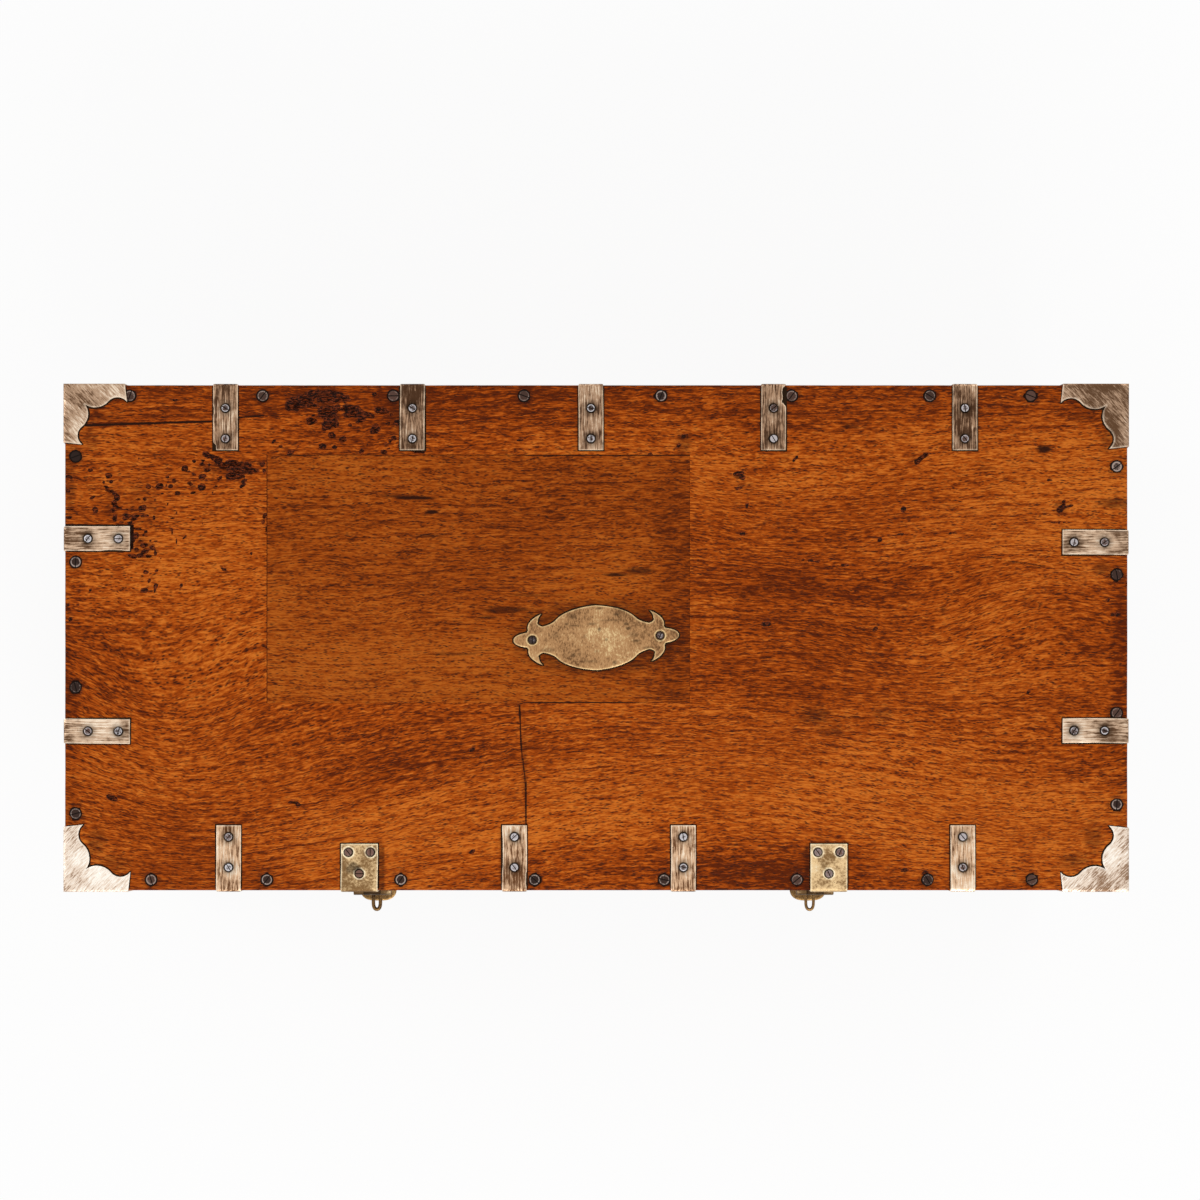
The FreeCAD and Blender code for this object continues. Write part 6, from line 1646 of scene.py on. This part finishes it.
def bent_wire(name, points, radius, material, node, slot, girths=None):
    """A round wire along a smooth line through its turning points."""
    data = bpy.data.curves.new(name, "CURVE")
    data.dimensions = "3D"
    data.bevel_depth = radius
    data.bevel_resolution = 5
    data.resolution_u = 10
    data.use_fill_caps = True
    spline = data.splines.new("NURBS")
    spline.points.add(len(points) - 1)
    for place, point, girth in zip(spline.points, points, girths or [1.0] * len(points)):
        place.co = (*point, 1.0)
        place.radius = girth
    spline.order_u = 3
    spline.use_endpoint_u = True
    wire = bpy.data.objects.new(name, data)
    bpy.context.scene.collection.objects.link(wire)
    pick_up(wire)
    bpy.ops.object.convert(target="MESH")
    wire = bpy.context.active_object
    wire.name = name
    smooth(wire, 60)
    return fit(wire, material, node, slot)


# The chest, piece by piece

edge_seats = screw_seats("lid_edge_screws")
fitting_seats = screw_seats("lid_fitting_screws")
top_seats = [seat for seat, into in fitting_seats if into.z < -0.9]

lid_top_board(edge_seats)
lid_inset_panel()

small_screw = slotted_screw("small_screw", SMALL_HEAD, 0.9 * MM, 0.25 * MM)
edge_screw = slotted_screw("edge_screw", EDGE_HEAD * 0.86, 1.1 * MM, 0.1 * MM, 1.2)
set_screws("lid_edge_screws", "lid_edge_screws_slotted", edge_screw, dark_steel, "dark_steel", 3)
set_screws("lid_fitting_screws", "lid_fitting_screws_slotted", small_screw, bright_steel, "bright_steel", 5)
set_screws("chest_screws", "chest_screws_slotted", small_screw, bright_steel, "bright_steel", 7)
for pattern in (small_screw, edge_screw):
    bpy.data.objects.remove(pattern, do_unlink=True)

for side_name, count in (("back", 5), ("front", 4), ("left", 2), ("right", 2)):
    for index in range(1, count + 1):
        lid_strap(f"lid_strap_{side_name}_{index}", side_name, top_seats, len(side_name) * 7 + index)
lid_centre_plate(top_seats)
for side_name in ("front", "back"):
    for end_name in ("left", "right"):
        lid_corner(side_name, end_name)
        eased(f"chest_corner_{side_name}_{end_name}", corner_brass, "strap_brass", 0.4 * MM)
        eased(f"foot_{side_name}_{end_name}", base_teak, "base_teak", 1.0 * MM)

for name, material in (
    ("front_board", case_teak), ("back_board", case_teak), ("left_end_board", end_teak),
    ("right_end_board", end_teak)
):
    eased(name, material, "case_teak", 0.5 * MM, joints=(LID_JOINT,))
for name in ("front", "back"):
    eased(f"lid_rim_{name}", case_teak, "lid_teak", 0.5 * MM, joints=(LID_JOINT, RIM_TOP))
for name in ("left", "right"):
    eased(f"lid_rim_{name}", end_teak, "lid_teak", 0.5 * MM, joints=(LID_JOINT, RIM_TOP))
eased("base_moulding_front", base_teak, "base_teak", 0.6 * MM)
for name in ("left", "right"):
    eased(f"base_moulding_{name}", base_end_teak, "base_teak", 0.6 * MM)
eased("floor_planks", floor_wood, "floor_wood", 0.8 * MM)

for side_name, wire in (("left", 2.0 * MM), ("right", 1.65 * MM)):
    _, pin = hasp_plate(side_name, top_seats)
    eye_low, eye_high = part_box(f"{side_name}_eye")
    hasp_tongue(side_name, pin, (eye_low.z + eye_high.z) / 2)
    wire_eye(side_name, wire)
    swinging_bail(side_name)
    eased(f"{side_name}_hinge_upper_leaf", handle_brass, "hasp_brass", 0.3 * MM)
    eased(f"{side_name}_hinge_lower_leaf", handle_brass, "hasp_brass", 0.3 * MM)
    eased(f"{side_name}_handle_plate", handle_brass, "handle_brass", 0.5 * MM)
eased("eye_plates", hasp_brass, "hasp_brass", 0.3 * MM)
eased("hinge_pins", dark_steel, "dark_steel", 0.3 * MM)
eased("hasp_pins", dark_steel, "dark_steel", 0.3 * MM)


# The floor, the light and the camera


def seen_as_white(tree):
    """1 for the rays that see the background: from the camera, off gloss and through glass."""
    path = add(tree, "ShaderNodeLightPath").outputs
    seen = sums(tree, "MAXIMUM", path["Is Camera Ray"], path["Is Glossy Ray"])
    return sums(tree, "MAXIMUM", seen, path["Is Transmission Ray"])


def studio_floor():
    """A wide pale floor that shows white and keeps the chest's shadow."""
    bpy.ops.mesh.primitive_plane_add(size=90.0, location=(0, 0, 0))
    floor = named("studio_floor")
    material, tree, shader = new_material("studio_floor")
    shader.inputs["Base Color"].default_value = (0.95, 0.95, 0.95, 1)
    shader.inputs["Roughness"].default_value = 0.8
    shader.inputs["Specular IOR Level"].default_value = 0.1
    seen = seen_as_white(tree)
    white = add(tree, "ShaderNodeEmission", {"Color": (1, 1, 1, 1), "Strength": 1.0}).outputs[0]
    share = times(tree, seen, 0.9)
    both = add(tree, "ShaderNodeMixShader", {0: share, 1: shader.outputs[0], 2: white}).outputs[0]
    tree.links.new(both, tree.nodes["Material Output"].inputs["Surface"])
    floor.data.materials.append(material)


def studio_world(strength):
    world = bpy.data.worlds.new("studio")
    bpy.context.scene.world = world
    world.use_nodes = True
    tree = world.node_tree
    background = tree.nodes["Background"]
    background.inputs["Color"].default_value = (1, 1, 1, 1)
    seen = seen_as_white(tree)
    level = sums(tree, "MULTIPLY_ADD", seen, 1.0 - strength, strength)
    tree.links.new(level, background.inputs["Strength"])


def softbox(name, place, aim, size, power):
    data = bpy.data.lights.new(name, "AREA")
    data.shape = "RECTANGLE"
    data.size, data.size_y = size
    data.energy = power
    lamp = bpy.data.objects.new(name, data)
    bpy.context.scene.collection.objects.link(lamp)
    lamp.location = place
    lamp.rotation_euler = (Vector(aim) - Vector(place)).to_track_quat("-Z", "Y").to_euler()


def photograph_camera():
    """Straight down from 2.6 m over the lid, a little to the left and front of its middle."""
    above, span, frame_px, axis_px = 2.6, 1.2424, 1200, (580, 720)
    data = bpy.data.cameras.new("camera")
    data.sensor_width = 36.0
    data.lens = data.sensor_width * above / span
    data.shift_x = (frame_px / 2 - axis_px[0]) / frame_px
    data.shift_y = (axis_px[1] - frame_px / 2) / frame_px
    camera = bpy.data.objects.new("camera", data)
    bpy.context.scene.collection.objects.link(camera)
    camera.location = (-0.0168, -0.0743, TOP + above)
    bpy.context.scene.camera = camera


studio_floor()
studio_world(0.5)
softbox("front_softbox", (0.4, -2.2, 2.6), (0, 0, 0.4), (1.6, 0.9), 42)
softbox("left_softbox", (-2.4, 0.5, 2.2), (0, 0, 0.4), (1.2, 1.2), 16)
softbox("back_softbox", (1.0, 2.3, 2.2), (0, 0, 0.4), (1.6, 1.0), 16)
photograph_camera()

bpy.context.scene.view_settings.view_transform = "Standard"
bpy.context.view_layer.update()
put_down()
